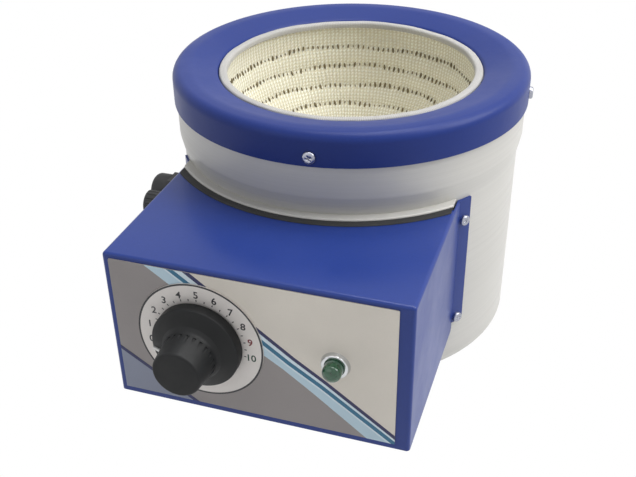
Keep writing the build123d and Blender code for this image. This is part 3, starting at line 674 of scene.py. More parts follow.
class Repeater:
    """Geometry Nodes that set copies of one small piece on the points of a carrier mesh."""

    def __init__(self, name: str) -> None:
        """Builds the tree.

        Args:
            name: The tree's name.
        """
        self.tree = bpy.data.node_groups.new(name, "GeometryNodeTree")
        face = self.tree.interface
        face.new_socket("Carrier", in_out="INPUT", socket_type="NodeSocketGeometry")
        self.keys = {
            label: face.new_socket(label, in_out="INPUT", socket_type=kind).identifier
            for label, kind in (
                ("Piece", "NodeSocketObject"),
                ("Finish", "NodeSocketMaterial"),
                ("Size", "NodeSocketFloat"),
                ("Spread", "NodeSocketFloat"),
                ("Seed", "NodeSocketInt"),
            )
        }
        face.new_socket("Result", in_out="OUTPUT", socket_type="NodeSocketGeometry")
        add = self.tree.nodes.new
        start = add("NodeGroupInput")
        end = add("NodeGroupOutput")
        info = add("GeometryNodeObjectInfo")
        turn = add("GeometryNodeInputNamedAttribute")
        turn.data_type = "FLOAT_VECTOR"
        turn.inputs["Name"].default_value = "turn"
        to_rotation = add("FunctionNodeEulerToRotation")
        wander = add("FunctionNodeRandomValue")
        wander.data_type = "FLOAT"
        low = add("ShaderNodeMath")
        low.operation = "SUBTRACT"
        high = add("ShaderNodeMath")
        high.operation = "ADD"
        instance = add("GeometryNodeInstanceOnPoints")
        realize = add("GeometryNodeRealizeInstances")
        paint = add("GeometryNodeSetMaterial")
        join = self.tree.links.new
        join(start.outputs["Carrier"], instance.inputs["Points"])
        join(start.outputs["Piece"], info.inputs["Object"])
        join(info.outputs["Geometry"], instance.inputs["Instance"])
        join(turn.outputs["Attribute"], to_rotation.inputs[0])
        join(to_rotation.outputs[0], instance.inputs["Rotation"])
        for node in (low, high):
            join(start.outputs["Size"], node.inputs[0])
            join(start.outputs["Spread"], node.inputs[1])
        join(low.outputs[0], wander.inputs[2])
        join(high.outputs[0], wander.inputs[3])
        join(start.outputs["Seed"], wander.inputs["Seed"])
        join(wander.outputs[1], instance.inputs["Scale"])
        join(instance.outputs[0], realize.inputs[0])
        join(realize.outputs[0], paint.inputs[0])
        join(start.outputs["Finish"], paint.inputs["Material"])
        join(paint.outputs[0], end.inputs[0])

    def spread(
        self,
        name: str,
        spots: list[tuple[Vector, Matrix]],
        piece: bpy.types.Mesh,
        finish: bpy.types.Material,
        size: float = 1.0,
        vary: float = 0.0,
        seed: int = 1,
    ) -> bpy.types.Mesh:
        """Sets the piece on every spot and returns one plain mesh.

        Args:
            name: The result's name.
            spots: Row-frame places in metres, each with the turn of the piece there.
            piece: The piece's mesh, drawn in metres round +Z.
            finish: Its material.
            size: Scale of the copies.
            vary: Random share added to or taken from the size.
            seed: Seed of that share.

        Returns:
            The realized mesh.
        """
        carrier = bpy.data.meshes.new(name + "_carrier")
        carrier.from_pydata([tuple(spot) for spot, _ in spots], [], [])
        turns = carrier.attributes.new("turn", "FLOAT_VECTOR", "POINT")
        for i, (_, turn) in enumerate(spots):
            turns.data[i].vector = turn.to_euler()
        holder = bpy.data.objects.new(name + "_holder", carrier)
        source = bpy.data.objects.new(name + "_source", piece)
        modifier = holder.modifiers.new("copies", "NODES")
        modifier.node_group = self.tree
        values = {"Piece": source, "Finish": finish, "Size": size, "Spread": vary * size, "Seed": seed}
        for label, value in values.items():
            modifier[self.keys[label]] = value
        mesh = baked(holder, source)
        mesh.name = name
        return mesh


class EdgeDresser:
    """Geometry Nodes that weld a CAD node's loose triangles and shade its bends smooth."""

    def __init__(self, angle: float = 32.0) -> None:
        """Builds the tree.

        Args:
            angle: Bend in degrees above which an edge stays sharp.
        """
        self.tree = bpy.data.node_groups.new("weld_and_smooth", "GeometryNodeTree")
        self.tree.interface.new_socket("Mesh", in_out="INPUT", socket_type="NodeSocketGeometry")
        self.tree.interface.new_socket("Mesh", in_out="OUTPUT", socket_type="NodeSocketGeometry")
        add = self.tree.nodes.new
        start, end = add("NodeGroupInput"), add("NodeGroupOutput")
        weld = add("GeometryNodeMergeByDistance")
        weld.inputs["Distance"].default_value = 2e-6
        smooth = add("GeometryNodeSetShadeSmooth")
        bend = add("GeometryNodeInputMeshEdgeAngle")
        over = add("FunctionNodeCompare")
        over.operation = "GREATER_THAN"
        over.inputs[1].default_value = math.radians(angle)
        crisp = add("GeometryNodeSetShadeSmooth")
        crisp.domain = "EDGE"
        crisp.inputs["Shade Smooth"].default_value = False
        join = self.tree.links.new
        join(start.outputs[0], weld.inputs["Geometry"])
        join(weld.outputs[0], smooth.inputs[0])
        join(smooth.outputs[0], crisp.inputs[0])
        join(bend.outputs["Unsigned Angle"], over.inputs[0])
        join(over.outputs[0], crisp.inputs["Selection"])
        join(crisp.outputs[0], end.inputs[0])

    def dress(self, frame: dict, node: str, material: bpy.types.Material) -> None:
        """Gives a CAD node its material and smooth bends.

        Args:
            frame: The loaded frame.
            node: The node's name.
            material: Its material.
        """
        piece = frame["nodes"][node]
        piece.data.materials.clear()
        piece.data.materials.append(material)
        piece.modifiers.new("bends", "NODES").node_group = self.tree
        LOG.info("%s dressed", node)


@dataclass
class Workshop:
    """What every sub-assembly needs: the frame, the finishes and the shared node trees."""

    frame: dict
    palette: Palette = field(default_factory=Palette)
    repeater: Repeater = field(default_factory=lambda: Repeater("set_copies"))
    edges: EdgeDresser = field(default_factory=EdgeDresser)


def facing_matrix(direction: Vector, spin: float = 0.0) -> Matrix:
    """Turn that carries +Z to a direction after a spin in degrees about it."""
    return direction.to_track_quat("Z", "Y").to_matrix() @ Matrix.Rotation(math.radians(spin), 3, "Z")


# ---------------------------------------------------------------- sub-assemblies


@dataclass
class Wall:
    """Spun wall of the body with its collar and turned edges."""

    foot: float = 4.0
    radius: float = 92.0
    collar_radius: float = 94.1
    collar_top: float = 148.8
    collar_bottom: float = 116.0
    taper: float = 10.0
    sheet: float = 1.2
    bottom_edge: float = 83.5
    top_edge: float = 88.4
    blend: float = 8.0
    gate_radius: float = 6.5
    gate_height: float = 60.0

    def build(self, shop: Workshop) -> None:
        """Builds the wall with the hole for its leads."""
        path = [
            (self.top_edge, self.collar_top),
            (self.collar_radius, self.collar_top),
            (self.collar_radius, self.collar_bottom),
            (self.radius, self.collar_bottom - self.taper),
            (self.radius, self.foot),
            (self.bottom_edge, self.foot),
        ]
        loop = sheet_loop(path, [3.8, self.blend, self.blend, 2.0], self.sheet)
        work = on_axis(spun(loop))
        mesh = finished(work, "wall")
        cutter = moved(
            spun([(0, -6), (self.gate_radius, -6), (self.gate_radius, 6), (0, 6)], 48, False),
            place(0, -self.radius, self.gate_height),
            Vector(Facing.FRONT.value),
        )
        done = carved(mesh, finished(cutter, "hole"))
        done.name = "body_wall"
        publish("body_wall", done, shop.palette.wall, "body_paint", "outer_shell")


@dataclass
class Lid:
    """Pressed lid with a rolled outer edge, a dished crown and a rolled mouth."""

    radius: float = 95.5
    crown: float = 150.0
    skirt: float = 17.0
    crown_edge: float = 86.0
    mouth: float = 71.0
    dish: float = 4.0
    lip: float = 6.8
    sheet: float = 1.2

    def build(self, shop: Workshop) -> None:
        """Builds the lid."""
        path = [
            (self.mouth, self.crown - self.lip),
            (self.mouth, self.crown - self.dish),
            (self.crown_edge, self.crown),
            (self.radius, self.crown),
            (self.radius, self.crown - self.skirt),
        ]
        loop = sheet_loop(path, [2.4, 14.0, 5.0], self.sheet)
        work = on_axis(spun(loop))
        publish("lid", finished(work, "lid"), shop.palette.lid, "lid_paint", "lid_ring")


@dataclass
class TopJoint:
    """Where the box's top meets the body: a light bead beside the wall and a thin black strip outside it,
    whose dark band is partly painted shade of the gap.
    """

    wall: float = 92.05
    bead_edge: float = 97.0
    bead_low: float = 105.0
    bead_top: float = 106.6
    strip_gap: float = 0.05
    strip_edge: float = 100.89
    strip_low: float = 103.1
    strip_top: float = 105.7
    half_width: float = 71.6
    steps: int = 96

    def arc(self, profile: list[Point2], name: str) -> bpy.types.Mesh:
        """Sweeps a profile round the body's front, from one side of the box to the other.

        Args:
            profile: Closed outline of (radius, height) points.
            name: The mesh's name.

        Returns:
            The mesh, with flat closed ends along the box's sides.
        """
        work = bmesh.new()
        rings: list[list[bmesh.types.BMVert]] = []
        for step in range(self.steps + 1):
            ring = []
            for radius, height in profile:
                end = math.degrees(math.acos(self.half_width / radius))
                x, y = polar(radius, end - 180 + (180 - 2 * end) * step / self.steps)
                ring.append(work.verts.new((x, y, height)))
            rings.append(ring)
        for near, far in zip(rings, rings[1:]):
            for i in range(len(profile)):
                j = (i + 1) % len(profile)
                work.faces.new((near[i], near[j], far[j], far[i]))
        work.faces.new(rings[0])
        work.faces.new(rings[-1][::-1])
        matrix = Matrix.Translation(place(0, 0, 0)) @ Matrix.Scale(MM, 4)
        bmesh.ops.transform(work, matrix=matrix, verts=work.verts)
        return finished(work, name)

    def build(self, shop: Workshop) -> None:
        """Builds the bead and the strip, which stand for the plain strip of the frame."""
        bead = rectangle(self.wall, self.bead_edge, self.bead_low, self.bead_top)
        mesh = self.arc(rounded(bead, [0.0, 0.4, 0.9, 0.0], 6, True), "wall_bead")
        publish("wall_bead", mesh, shop.palette.wall, "body_paint")
        # The black strip paints the dark band along the box top's cut edge; this band is partly the shade in
        # the gap between box top and wall.
        start = self.bead_edge + self.strip_gap
        strip = rectangle(start, self.strip_edge, self.strip_low, self.strip_top)
        mesh = self.arc(rounded(strip, [0.0, 0.8, 0.8, 0.0], 6, True), "seal_strip")
        publish("seal_strip", mesh, shop.palette.rubber, "black_rubber", "top_seal")


@dataclass
class Nest:
    """Knitted bowl: coiled ridges over the heating cord, stitched rows in its hollows and a padded hem."""

    centre: float = 138.0
    radius: float = 68.0
    thickness: float = 4.9
    top: float = 143.0
    ridge: float = 0.9
    ridge_pitch: float = 11.5
    ridge_start: float = 12.0
    ridges: int = 8
    slope_steps: int = 168
    back_steps: int = 24
    hem_inner: float = 66.4
    hem_outer: float = 70.8
    hem_top: float = 146.4
    hem_firm: float = 1.2
    hem_calm: float = 0.2
    hem_sink: float = 0.7
    hem_push: float = 0.5
    hem_sway: tuple[Point3, ...] = ((0.22, 7, 0.0), (0.14, 17, 1.3))
    stitch_gap: float = 3.1
    stitch_length: float = 2.6
    stitch_width: float = 0.55
    stitch_lift: float = 0.35
    row_sway: float = 0.7
    row_waves: tuple[Point3, ...] = ((1.0, 5, 2.1), (0.6, 13, 1.7))

    def slope(self) -> float:
        """Length in millimetres of the bowl's line from its hem to its lowest point."""
        return (self.top - self.centre) + self.radius * math.pi / 2

    def spot(self, run: float, lift: float = 0.0) -> Point2:
        """Radius and height of the bowl's inner face.

        Args:
            run: Distance down the slope from the hem.
            lift: Distance inwards from the smooth bowl.

        Returns:
            The point.
        """
        straight = self.top - self.centre
        if run <= straight:
            return self.radius - lift, self.top - run
        angle = (run - straight) / self.radius
        reach = self.radius - lift
        return reach * math.cos(angle), self.centre - reach * math.sin(angle)

    def swell(self, run: float) -> float:
        """Height of the coiled ridges at a distance down the slope."""
        wave = (run - self.ridge_start) / self.ridge_pitch
        if not 0 <= wave < self.ridges:
            return 0.0
        return self.ridge * math.sin(math.pi * (wave - math.floor(wave))) ** 0.8

    def map_round(self, work: bmesh.types.BMesh, run: Callable[[float, float], float]) -> None:
        """Gives a spun surface its map, with u round the axis.

        Args:
            work: The surface, still in millimetres.
            run: Finds v from a corner's radius and height.
        """
        layer = work.loops.layers.uv.new("knit")
        for face in work.faces:
            angles = [math.atan2(loop.vert.co.y, loop.vert.co.x) for loop in face.loops]
            wide = max(angles) - min(angles) > math.pi
            for loop, angle in zip(face.loops, angles):
                reach = math.hypot(loop.vert.co.x, loop.vert.co.y)
                turn = angle + 2 * math.pi if wide and angle < 0 else angle
                share = turn / (2 * math.pi) if reach > 0.1 else 0.0
                loop[layer].uv = (share, run(reach, loop.vert.co.z))

    def depth(self, _: float, height: float) -> float:
        """Distance down the bowl's slope from its widest place, at a height."""
        if height >= self.centre:
            return self.centre - height
        return math.asin(min(1.0, (self.centre - height) / self.radius)) * self.radius

    def bowl(self, shop: Workshop) -> bpy.types.Object:
        """Builds the knitted bowl with a map that follows its slope."""
        profile = []
        for i in range(self.slope_steps + 1):
            run = self.slope() * i / self.slope_steps
            profile.append(self.spot(run, self.swell(run)))
        profile[-1] = (0.0, profile[-1][1])
        steps = self.back_steps
        back = [self.spot(self.slope() * i / steps, -self.thickness) for i in range(steps, -1, -1)]
        back[0] = (0.0, back[0][1])
        work = spun(profile + back, 180)
        self.map_round(work, self.depth)
        mesh = finished(on_axis(work), "nest_bowl", 60)
        return publish("nest_bowl", mesh, shop.palette.knit, "nest_cloth", "nest_fabric")

    def hem(self, shop: Workshop) -> bpy.types.Object:
        """Builds the padded hem under the lid's mouth, slightly uneven as sewn cloth is."""
        low = self.top
        corners = rectangle(self.hem_inner, self.hem_outer, low, self.hem_top)
        work = spun(rounded(corners, [0.5, 0.5, 1.2, 1.3], 6, True), 240)
        for vert in work.verts:
            angle = math.atan2(vert.co.y, vert.co.x)
            sway = ripple(self.hem_sway, angle)
            if vert.co.z > low + self.hem_firm:
                vert.co.z += min(0.0, sway - self.hem_calm) * self.hem_sink
            inward = max(0.0, sway) * self.hem_push
            reach = math.hypot(vert.co.x, vert.co.y)
            if reach < (self.hem_inner + self.hem_outer) / 2:
                vert.co.x *= (reach + inward) / reach
                vert.co.y *= (reach + inward) / reach
        self.map_round(work, lambda reach, height: reach + height)
        mesh = finished(on_axis(work), "nest_hem", 60)
        return publish("nest_hem", mesh, shop.palette.hem, "nest_cloth", "nest_rim")

    def stitches(self, shop: Workshop) -> bpy.types.Object:
        """Sews rows of dark yarn along the hollows between the ridges."""
        half = self.stitch_length / 2
        shoulder = self.stitch_width * 0.6
        profile = [
            (0, -half),
            (shoulder, -half * 0.75),
            (self.stitch_width, 0),
            (shoulder, half * 0.75),
            (0, half),
        ]
        work = spun(profile, 8, False)
        bmesh.ops.scale(work, vec=(MM, MM, MM), verts=work.verts)
        stitch = finished(work, "stitch", 80)
        spots: list[tuple[Vector, Matrix]] = []
        run = self.ridge_start
        for row in range(self.ridges):
            count = max(10, round(2 * math.pi * self.spot(run)[0] / self.stitch_gap))
            for i in range(count):
                angle = 2 * math.pi * (i + 0.5 * (row % 2)) / count
                sway = ripple(self.row_waves, angle, row)
                radius, height = self.spot(run + self.row_sway * sway, self.stitch_lift)
                ahead = self.spot(run + self.row_sway * sway + 1.0, self.stitch_lift)
                cosine = math.cos(angle)
                sine = math.sin(angle)
                inward = ahead[0] - radius
                along = Vector((inward * cosine, inward * sine, ahead[1] - height))
                side = Vector((-sine, cosine, 0))
                direction = (along.normalized() + side * 0.25 * math.sin(i * 1.7)).normalized()
                spot = place(radius * cosine, radius * sine, height)
                spots.append((spot, facing_matrix(direction)))
            run += self.ridge_pitch
        mesh = shop.repeater.spread("nest_stitches", spots, stitch, shop.palette.yarn, 1.0, 0.45, 4)
        return publish("nest_stitches", mesh, shop.palette.yarn, "nest_cloth")

    def build(self, shop: Workshop) -> None:
        self.bowl(shop)
        self.hem(shop)
        self.stitches(shop)


@dataclass
class Fasteners:
    """Pan head screws with a cross recess, one mesh for all of them."""

    head: float = 3.2
    height: float = 1.88
    shank: float = 1.5
    length: float = 6.0
    point: float = 0.5
    dome: float = 0.62
    recess_reach: float = 1.15
    recess_width: float = 0.75
    recess_depth: float = 1.5
    recess_sink: float = 0.15
    recess_taper: float = 0.45
    ear_head: float = 2.8
    lid_radius: float = 95.5
    lid_height: float = 138.0
    lid_start: float = -85.0
    ear_radius: float = 93.2
    ear_angle: float = 35.8
    ear_heights: tuple[float, float] = (93.0, 33.0)
    base_radius: float = 87.4
    base_lift: float = 4.0
    box_lift: float = 24.0
    box_x: float = 68.5
    box_ys: tuple[float, float] = (-140.0, -80.0)

    def screw(self, scale: float = 1.0) -> bpy.types.Mesh:
        """Builds one screw in metres, head up from the origin and shank below it."""
        head = self.head * scale
        crown = rounded([(head, 0), (head, self.height), (0, self.height)], [self.height * self.dome], 8)
        end = -self.length
        tip = [(0, end), (self.shank * 0.7, end), (self.shank, end + self.point)]
        profile = tip + [(self.shank, 0)] + crown
        work = spun(profile, 40, False)
        blank = finished(work, "screw_blank", 50)
        cut = bmesh.new()
        bar = (head * self.recess_reach, self.recess_width, self.recess_depth)
        for turn in (0, 90):
            made = bmesh.ops.create_cube(cut, size=1.0)["verts"]
            bmesh.ops.scale(cut, vec=bar, verts=made)
            quarter = Matrix.Rotation(math.radians(turn), 3, "Z")
            bmesh.ops.rotate(cut, cent=(0, 0, 0), matrix=quarter, verts=made)
            bmesh.ops.translate(cut, vec=(0, 0, self.height - self.recess_sink), verts=made)
            for vert in made:
                if vert.co.z < self.height - 2 * self.recess_sink:
                    vert.co.x *= self.recess_taper
                    vert.co.y *= self.recess_taper
        mesh = carved(blank, finished(cut, "recess", 20), True)
        mesh.transform(Matrix.Scale(MM, 4))
        return mesh

    def radial(self, radius: float, angle: float, height: float, spin: float) -> tuple[Vector, Matrix]:
        """Place and turn of a screw that points out from the body's axis."""
        x, y = polar(radius, angle)
        return place(x, y, height), facing_matrix(Vector((*polar(1, angle), 0)), spin)

    def build(self, shop: Workshop) -> None:
        """Sets every screw and replaces the plain ones."""
        spots = []
        for i in range(4):
            spots.append(self.radial(self.lid_radius, self.lid_start + 90 * i, self.lid_height, 20 + 31 * i))
        below = facing_matrix(Vector(Facing.DOWN.value))
        for i in range(4):
            x, y = polar(self.base_radius, 45 + 90 * i)
            spots.append((place(x, y, self.base_lift), below))
        for x in (self.box_x, -self.box_x):
            for y in self.box_ys:
                spots.append((place(x, y, self.box_lift), below))
        mesh = shop.repeater.spread("screws", spots, self.screw(), shop.palette.nickel)
        names = [f"{kind}_{i}" for kind in ("lid_screw", "base_screw", "box_screw") for i in range(1, 5)]
        publish("screws", mesh, shop.palette.nickel, "plated_steel", *names)
        ears = []
        for angle in (-self.ear_angle, -180 + self.ear_angle):
            for height in self.ear_heights:
                ears.append(self.radial(self.ear_radius, angle, height, 15 + height))
        small = self.screw(self.ear_head / self.head)
        mesh = shop.repeater.spread("ear_screws", ears, small, shop.palette.nickel)
        names = [f"flange_screw_{i}" for i in range(1, 5)]
        publish("ear_screws", mesh, shop.palette.nickel, "plated_steel", *names)


@dataclass
class PanelPrint:
    """Coloured fields and bands printed on the front label."""

    left: float = -70.1
    right: float = 66.6
    low: float = 27.2
    high: float = 102.6
    face: float = -151.5
    layer: float = 0.04
    line: tuple[Point2, ...] = ((-49.4, 116.2), (-4.9, 83.2), (18.6, 65.6), (33.3, 55.7), (70.5, 28.3))
    stripe_top: tuple[Point2, ...] = ((-72.0, 54.2), (-56.8, 44.3), (-30.6, 27.2))
    stripe_low: tuple[Point2, ...] = ((-72.0, 52.0), (-56.8, 42.1), (-34.0, 27.2))
    navy_edge: tuple[float, ...] = (1.1, 0.9, 0.9, 0.9, 0.9)
    teal_start: tuple[float, ...] = (3.8, 3.0, 2.7, 2.4, 1.9)
    teal_end: tuple[float, ...] = (6.0, 5.2, 4.9, 4.6, 4.1)
    pale_end: tuple[float, ...] = (6.9, 6.1, 5.8, 5.5, 5.0)
    cyan_end: tuple[float, ...] = (12.5, 11.0, 8.9, 9.8, 11.6)

    def edge(self, offsets: tuple[float, ...]) -> list[Point2]:
        """Line beside the panel's main line.

        Args:
            offsets: Distance down to the left of each of the main line's points.

        Returns:
            The line's points.
        """
        found: list[Point2] = []
        for i, (point, offset) in enumerate(zip(self.line, offsets)):
            after = Vector(self.line[min(i + 1, len(self.line) - 1)])
            before = Vector(self.line[max(i - 1, 0)])
            run = (after - before).normalized()
            found.append((point[0] + run.y * offset, point[1] - run.x * offset))
        return found

    def band(self, start: tuple[float, ...], end: tuple[float, ...]) -> list[Point2]:
        """Outline of the band between two lines beside the main one, clipped to the label."""
        return self.clip(self.edge(start) + self.edge(end)[::-1])

    def clip(self, outline: list[Point2]) -> list[Point2]:
        """Part of a polygon that lies on the label."""
        bounds = ((0, self.left, 1), (0, self.right, -1), (1, self.low, 1), (1, self.high, -1))
        for axis, bound, sign in bounds:
            kept: list[Point2] = []
            for a, b in zip(outline, outline[1:] + outline[:1]):
                inside = (a[axis] - bound) * sign >= 0
                if inside:
                    kept.append(a)
                if inside != ((b[axis] - bound) * sign >= 0):
                    share = (bound - a[axis]) / (b[axis] - a[axis])
                    kept.append((a[0] + share * (b[0] - a[0]), a[1] + share * (b[1] - a[1])))
            outline = kept
        return outline

    def build(self, shop: Workshop) -> None:
        """Prints the fields, each a thin layer of ink over the last."""
        colours = shop.palette
        far = self.right + 40
        upper = self.clip(list(self.line) + [(far, self.low), (far, 140.0), (self.line[0][0], 140.0)])
        stripe = list(self.stripe_top) + list(self.stripe_low[::-1])
        corner = list(self.stripe_low) + [(self.stripe_low[-1][0], 20.0), (self.stripe_low[0][0], 20.0)]
        back = tuple(-edge for edge in self.navy_edge)
        fields = [
            ("print_beige", upper, colours.beige),
            ("print_mist", self.clip(corner), colours.mist),
            ("print_corner_line", self.clip(stripe), colours.navy),
            ("print_cyan", self.band(self.teal_end, self.cyan_end), colours.cyan),
            ("print_pale", self.band(self.navy_edge, self.pale_end), colours.pale),
            ("print_teal", self.band(self.teal_start, self.teal_end), colours.teal),
            ("print_navy", self.band(back, self.navy_edge), colours.navy),
        ]
        for depth, (name, outline, ink) in enumerate(fields):
            matrix = upright(0, self.face - self.layer / 2, 0)
            mesh = slab(outline, self.layer * (1 + depth * 0.5), matrix, name)
            publish(name, mesh, ink, "panel_film")


@dataclass
class Dial:
    """White scale plate with its ring, ticks and numbers."""

    x: float = -26.9
    z: float = 65.9
    face: float = -152.3
    radius: float = 31.3
    first: float = 190.0
    step: float = 20.0
    numbers: int = 11
    number_radius: float = 25.5
    number_height: float = 3.8
    figure_scale: float = 1.35
    figure_weight: float = 0.09
    tick_inner: float = 22.1
    tick_length: float = 1.1
    tick_width: float = 0.44
    ring_width: float = 0.9
    ring_inset: float = 0.02
    ink: float = 0.04

    def ring(self, shop: Workshop) -> None:
        """Draws the dark line round the plate."""
        outer = self.radius - self.ring_inset
        work = spun(rectangle(self.radius - self.ring_width, outer, 0, self.ink), 128)
        centre = place(self.x, self.face, self.z)
        mesh = finished(moved(work, centre, Vector(Facing.FRONT.value)), "dial_ring")
        publish("dial_ring", mesh, shop.palette.ink, "dial_face")

    def ticks(self, shop: Workshop) -> None:
        """Sets a short mark at every half step of the scale."""
        outline = rectangle(0, self.tick_length, -self.tick_width / 2, self.tick_width / 2)
        mark = slab(outline, self.ink, Matrix.Scale(MM, 4), "tick")
        spots = []
        for i in range(2 * self.numbers - 1):
            angle = math.radians(self.first - i * self.step / 2)
            x, z = self.tick_inner * math.cos(angle), self.tick_inner * math.sin(angle)
            turn = Matrix(((1, 0, 0), (0, 0, -1), (0, 1, 0))) @ Matrix.Rotation(angle, 3, "Z")
            spots.append((place(self.x + x, self.face, self.z + z), turn))
        mesh = shop.repeater.spread("dial_ticks", spots, mark, shop.palette.ink)
        publish("dial_ticks", mesh, shop.palette.ink, "dial_face")

    def figures(self, shop: Workshop) -> None:
        """Prints the scale's numbers, upright."""
        for number in range(self.numbers):
            curve = bpy.data.curves.new(f"figure_{number}", "FONT")
            curve.body = str(number)
            curve.size = self.number_height * self.figure_scale
            curve.align_x = "CENTER"
            curve.align_y = "CENTER"
            curve.extrude = self.ink / 2
            curve.offset = self.figure_weight
            mesh = baked(bpy.data.objects.new(curve.name, curve))
            angle = math.radians(self.first - number * self.step)
            x, z = self.number_radius * math.cos(angle), self.number_radius * math.sin(angle)
            mesh.transform(upright(self.x + x, self.face - self.ink / 2, self.z + z))
            inks = {self.numbers - 2: shop.palette.red, self.numbers - 1: shop.palette.dark_green}
            ink = inks.get(number, shop.palette.ink)
            publish(f"dial_figure_{number}", mesh, ink, "dial_face")

    def build(self, shop: Workshop) -> None:
        """Dresses the plate and prints its scale."""
        shop.edges.dress(shop.frame, "dial_plate", shop.palette.dial)
        self.ring(shop)
        self.ticks(shop)
        self.figures(shop)


@dataclass
class HiddenWorks:
    """Nodes that keep their CAD shape, with the finish of each."""

    def finishes(self, colours: Palette) -> dict[str, bpy.types.Material]:
        """Material of every such node."""
        feet = [f"foot_{i}" for i in range(1, 5)]
        fuse = ["fuse_holder", "fuse_cap", "fuse_nut"]
        gland = ["gland_body", "gland_cap", "gland_nut"]
        table = [
            (colours.box, ["box_cover", "box_base"]),
            (colours.zinc, ["base_plate", "support_bowl"]),
            (colours.alloy, ["heating_element"]),
            (colours.wool, ["insulation"]),
            (colours.ceramic, ["element_terminal"]),
            (colours.brass, ["earth_stud"]),
            (colours.grey, ["front_label"]),
            (colours.black, ["regulator", "lamp_body", "lamp_nut"] + fuse + gland),
            (colours.nickel, ["spindle", "bush_nut"]),
            (colours.knob, ["knob"]),
            (colours.white, ["knob_pointer", "terminal_block"]),
            (colours.lens, ["lamp_lens"]),
            (colours.bright, ["lamp_bezel"]),
            (colours.tube, ["fuse_link"]),
            (colours.rubber, ["grommet"] + feet),
            (colours.brown, ["live_lead"]),
            (colours.blue, ["neutral_lead"]),
            (colours.green, ["earth_lead"]),
        ]
        return {node: material for material, nodes in table for node in nodes}

    def build(self, shop: Workshop) -> None:
        """Dresses the nodes."""
        for node, material in self.finishes(shop.palette).items():
            shop.edges.dress(shop.frame, node, material)


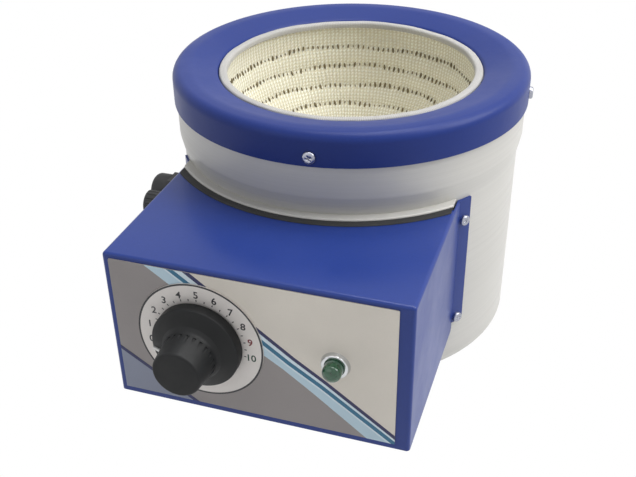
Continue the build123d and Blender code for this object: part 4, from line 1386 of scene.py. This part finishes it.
@dataclass
class Studio:
    """Pale floor, soft lamps and the camera."""

    azimuth: float = 18.689
    elevation: float = 32.017
    roll: float = -0.881
    distance: float = 574.116
    target: Point3 = (-20.091, 0.0, 31.796)
    focal_px: float = 942.448
    image_width: int = 636
    sensor: float = 36.0
    back_white: float = 1.0
    floor_size: float = 6.0
    floor_colour: Colour = (0.75, 0.75, 0.75, 1.0)
    floor_roughness: float = 0.8
    room_colour: Colour = (0.93, 0.95, 1.0, 1.0)
    room_strength: float = 0.33

    def camera(self) -> None:
        """Sets up the camera."""
        az, el, roll = (math.radians(a) for a in (self.azimuth, self.elevation, self.roll))
        back = Vector((math.sin(az) * math.cos(el), -math.cos(az) * math.cos(el), math.sin(el)))
        right = (-back).cross(Vector((0, 0, 1))).normalized()
        up = right.cross(-back)
        right_rolled = right * math.cos(roll) + up * math.sin(roll)
        up_rolled = up * math.cos(roll) - right * math.sin(roll)
        matrix = Matrix((right_rolled, up_rolled, back)).transposed().to_4x4()
        matrix.translation = place(*self.target) + back * self.distance * MM
        lens = bpy.data.cameras.new("camera")
        lens.sensor_width = self.sensor
        lens.lens = self.focal_px * self.sensor / self.image_width
        lens.clip_start = 0.01
        lens.clip_end = 50
        eye = bpy.data.objects.new("camera", lens)
        eye.matrix_world = matrix
        bpy.context.scene.collection.objects.link(eye)
        bpy.context.scene.camera = eye

    def whiten(
        self, tree: bpy.types.NodeTree, lit: Socket, white: Socket, end: bpy.types.Node
    ) -> None:
        """Joins a surface that shows plain white to the camera, in reflections and through clear pieces.

        Args:
            tree: The material's or world's tree.
            lit: The shader that lights the room.
            white: The white one.
            end: The output node.
        """
        rays = tree.nodes.new("ShaderNodeLightPath")
        factor = rays.outputs["Is Camera Ray"]
        for name in ("Is Glossy Ray", "Is Transmission Ray"):
            seen = tree.nodes.new("ShaderNodeMath")
            seen.operation = "MAXIMUM"
            tree.links.new(factor, seen.inputs[0])
            tree.links.new(rays.outputs[name], seen.inputs[1])
            factor = seen.outputs[0]
        mix = tree.nodes.new("ShaderNodeMixShader")
        tree.links.new(factor, mix.inputs[0])
        tree.links.new(lit, mix.inputs[1])
        tree.links.new(white, mix.inputs[2])
        tree.links.new(mix.outputs[0], end.inputs["Surface"])

    def floor(self) -> None:
        """Lays the pale floor, which shows white where the camera or a mirror sees it."""
        work = bmesh.new()
        bmesh.ops.create_grid(work, x_segments=4, y_segments=4, size=self.floor_size)
        mesh = finished(work, "floor", 40, False)
        material = bpy.data.materials.new("floor")
        material.use_nodes = True
        tree = material.node_tree
        lit = tree.nodes["Principled BSDF"]
        lit.inputs["Base Color"].default_value = self.floor_colour
        lit.inputs["Roughness"].default_value = self.floor_roughness
        white = tree.nodes.new("ShaderNodeEmission")
        self.whiten(tree, lit.outputs[0], white.outputs[0], tree.nodes["Material Output"])
        mesh.materials.append(material)
        sheet = bpy.data.objects.new("floor", mesh)
        bpy.context.scene.collection.objects.link(sheet)

    def lamp(self, name: str, spot: Point3, aim: Point3, size: float, power: float) -> None:
        """Hangs one square soft lamp.

        Args:
            name: The lamp's name.
            spot: Its place in metres.
            aim: The point it faces.
            size: Its side in metres.
            power: Its power in watts.
        """
        light = bpy.data.lights.new(name, "AREA")
        light.size = size
        light.energy = power
        item = bpy.data.objects.new(name, light)
        direction = Vector(aim) - Vector(spot)
        item.matrix_world = Matrix.Translation(spot) @ direction.to_track_quat("-Z", "Y").to_matrix().to_4x4()
        bpy.context.scene.collection.objects.link(item)

    def world(self) -> None:
        """Gives the room a soft pale light, and a white background where it is seen."""
        world = bpy.data.worlds.new("room")
        world.use_nodes = True
        bpy.context.scene.world = world
        tree = world.node_tree
        lit = tree.nodes["Background"]
        lit.inputs["Color"].default_value = self.room_colour
        lit.inputs["Strength"].default_value = self.room_strength
        white = tree.nodes.new("ShaderNodeBackground")
        white.inputs["Color"].default_value = (1, 1, 1, 1)
        white.inputs["Strength"].default_value = self.back_white
        self.whiten(tree, lit.outputs[0], white.outputs[0], tree.nodes["World Output"])

    def build(self) -> None:
        """Builds the room."""
        self.camera()
        self.floor()
        self.world()
        self.lamp("key", (1.2, 0.3, 1.2), (0, 0, 0.08), 0.9, 18.5)
        self.lamp("top", (0.2, 0.35, 1.6), (0, 0, 0.1), 1.0, 17)
        self.lamp("fill", (-0.6, -1.2, 0.9), (0, 0, 0.08), 1.0, 2)
        bpy.context.scene.view_settings.view_transform = "Standard"


def main() -> None:
    """Builds the scene from the frame."""
    logging.basicConfig(level=logging.INFO, format="%(name)s %(message)s")
    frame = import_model()
    Studio().build()
    shop = Workshop(frame)
    for part in (Wall(), Lid(), TopJoint(), Nest(), Fasteners(), PanelPrint(), Dial(), HiddenWorks()):
        LOG.info("building %s", type(part).__name__)
        part.build(shop)


if __name__ == "__main__":
    main()
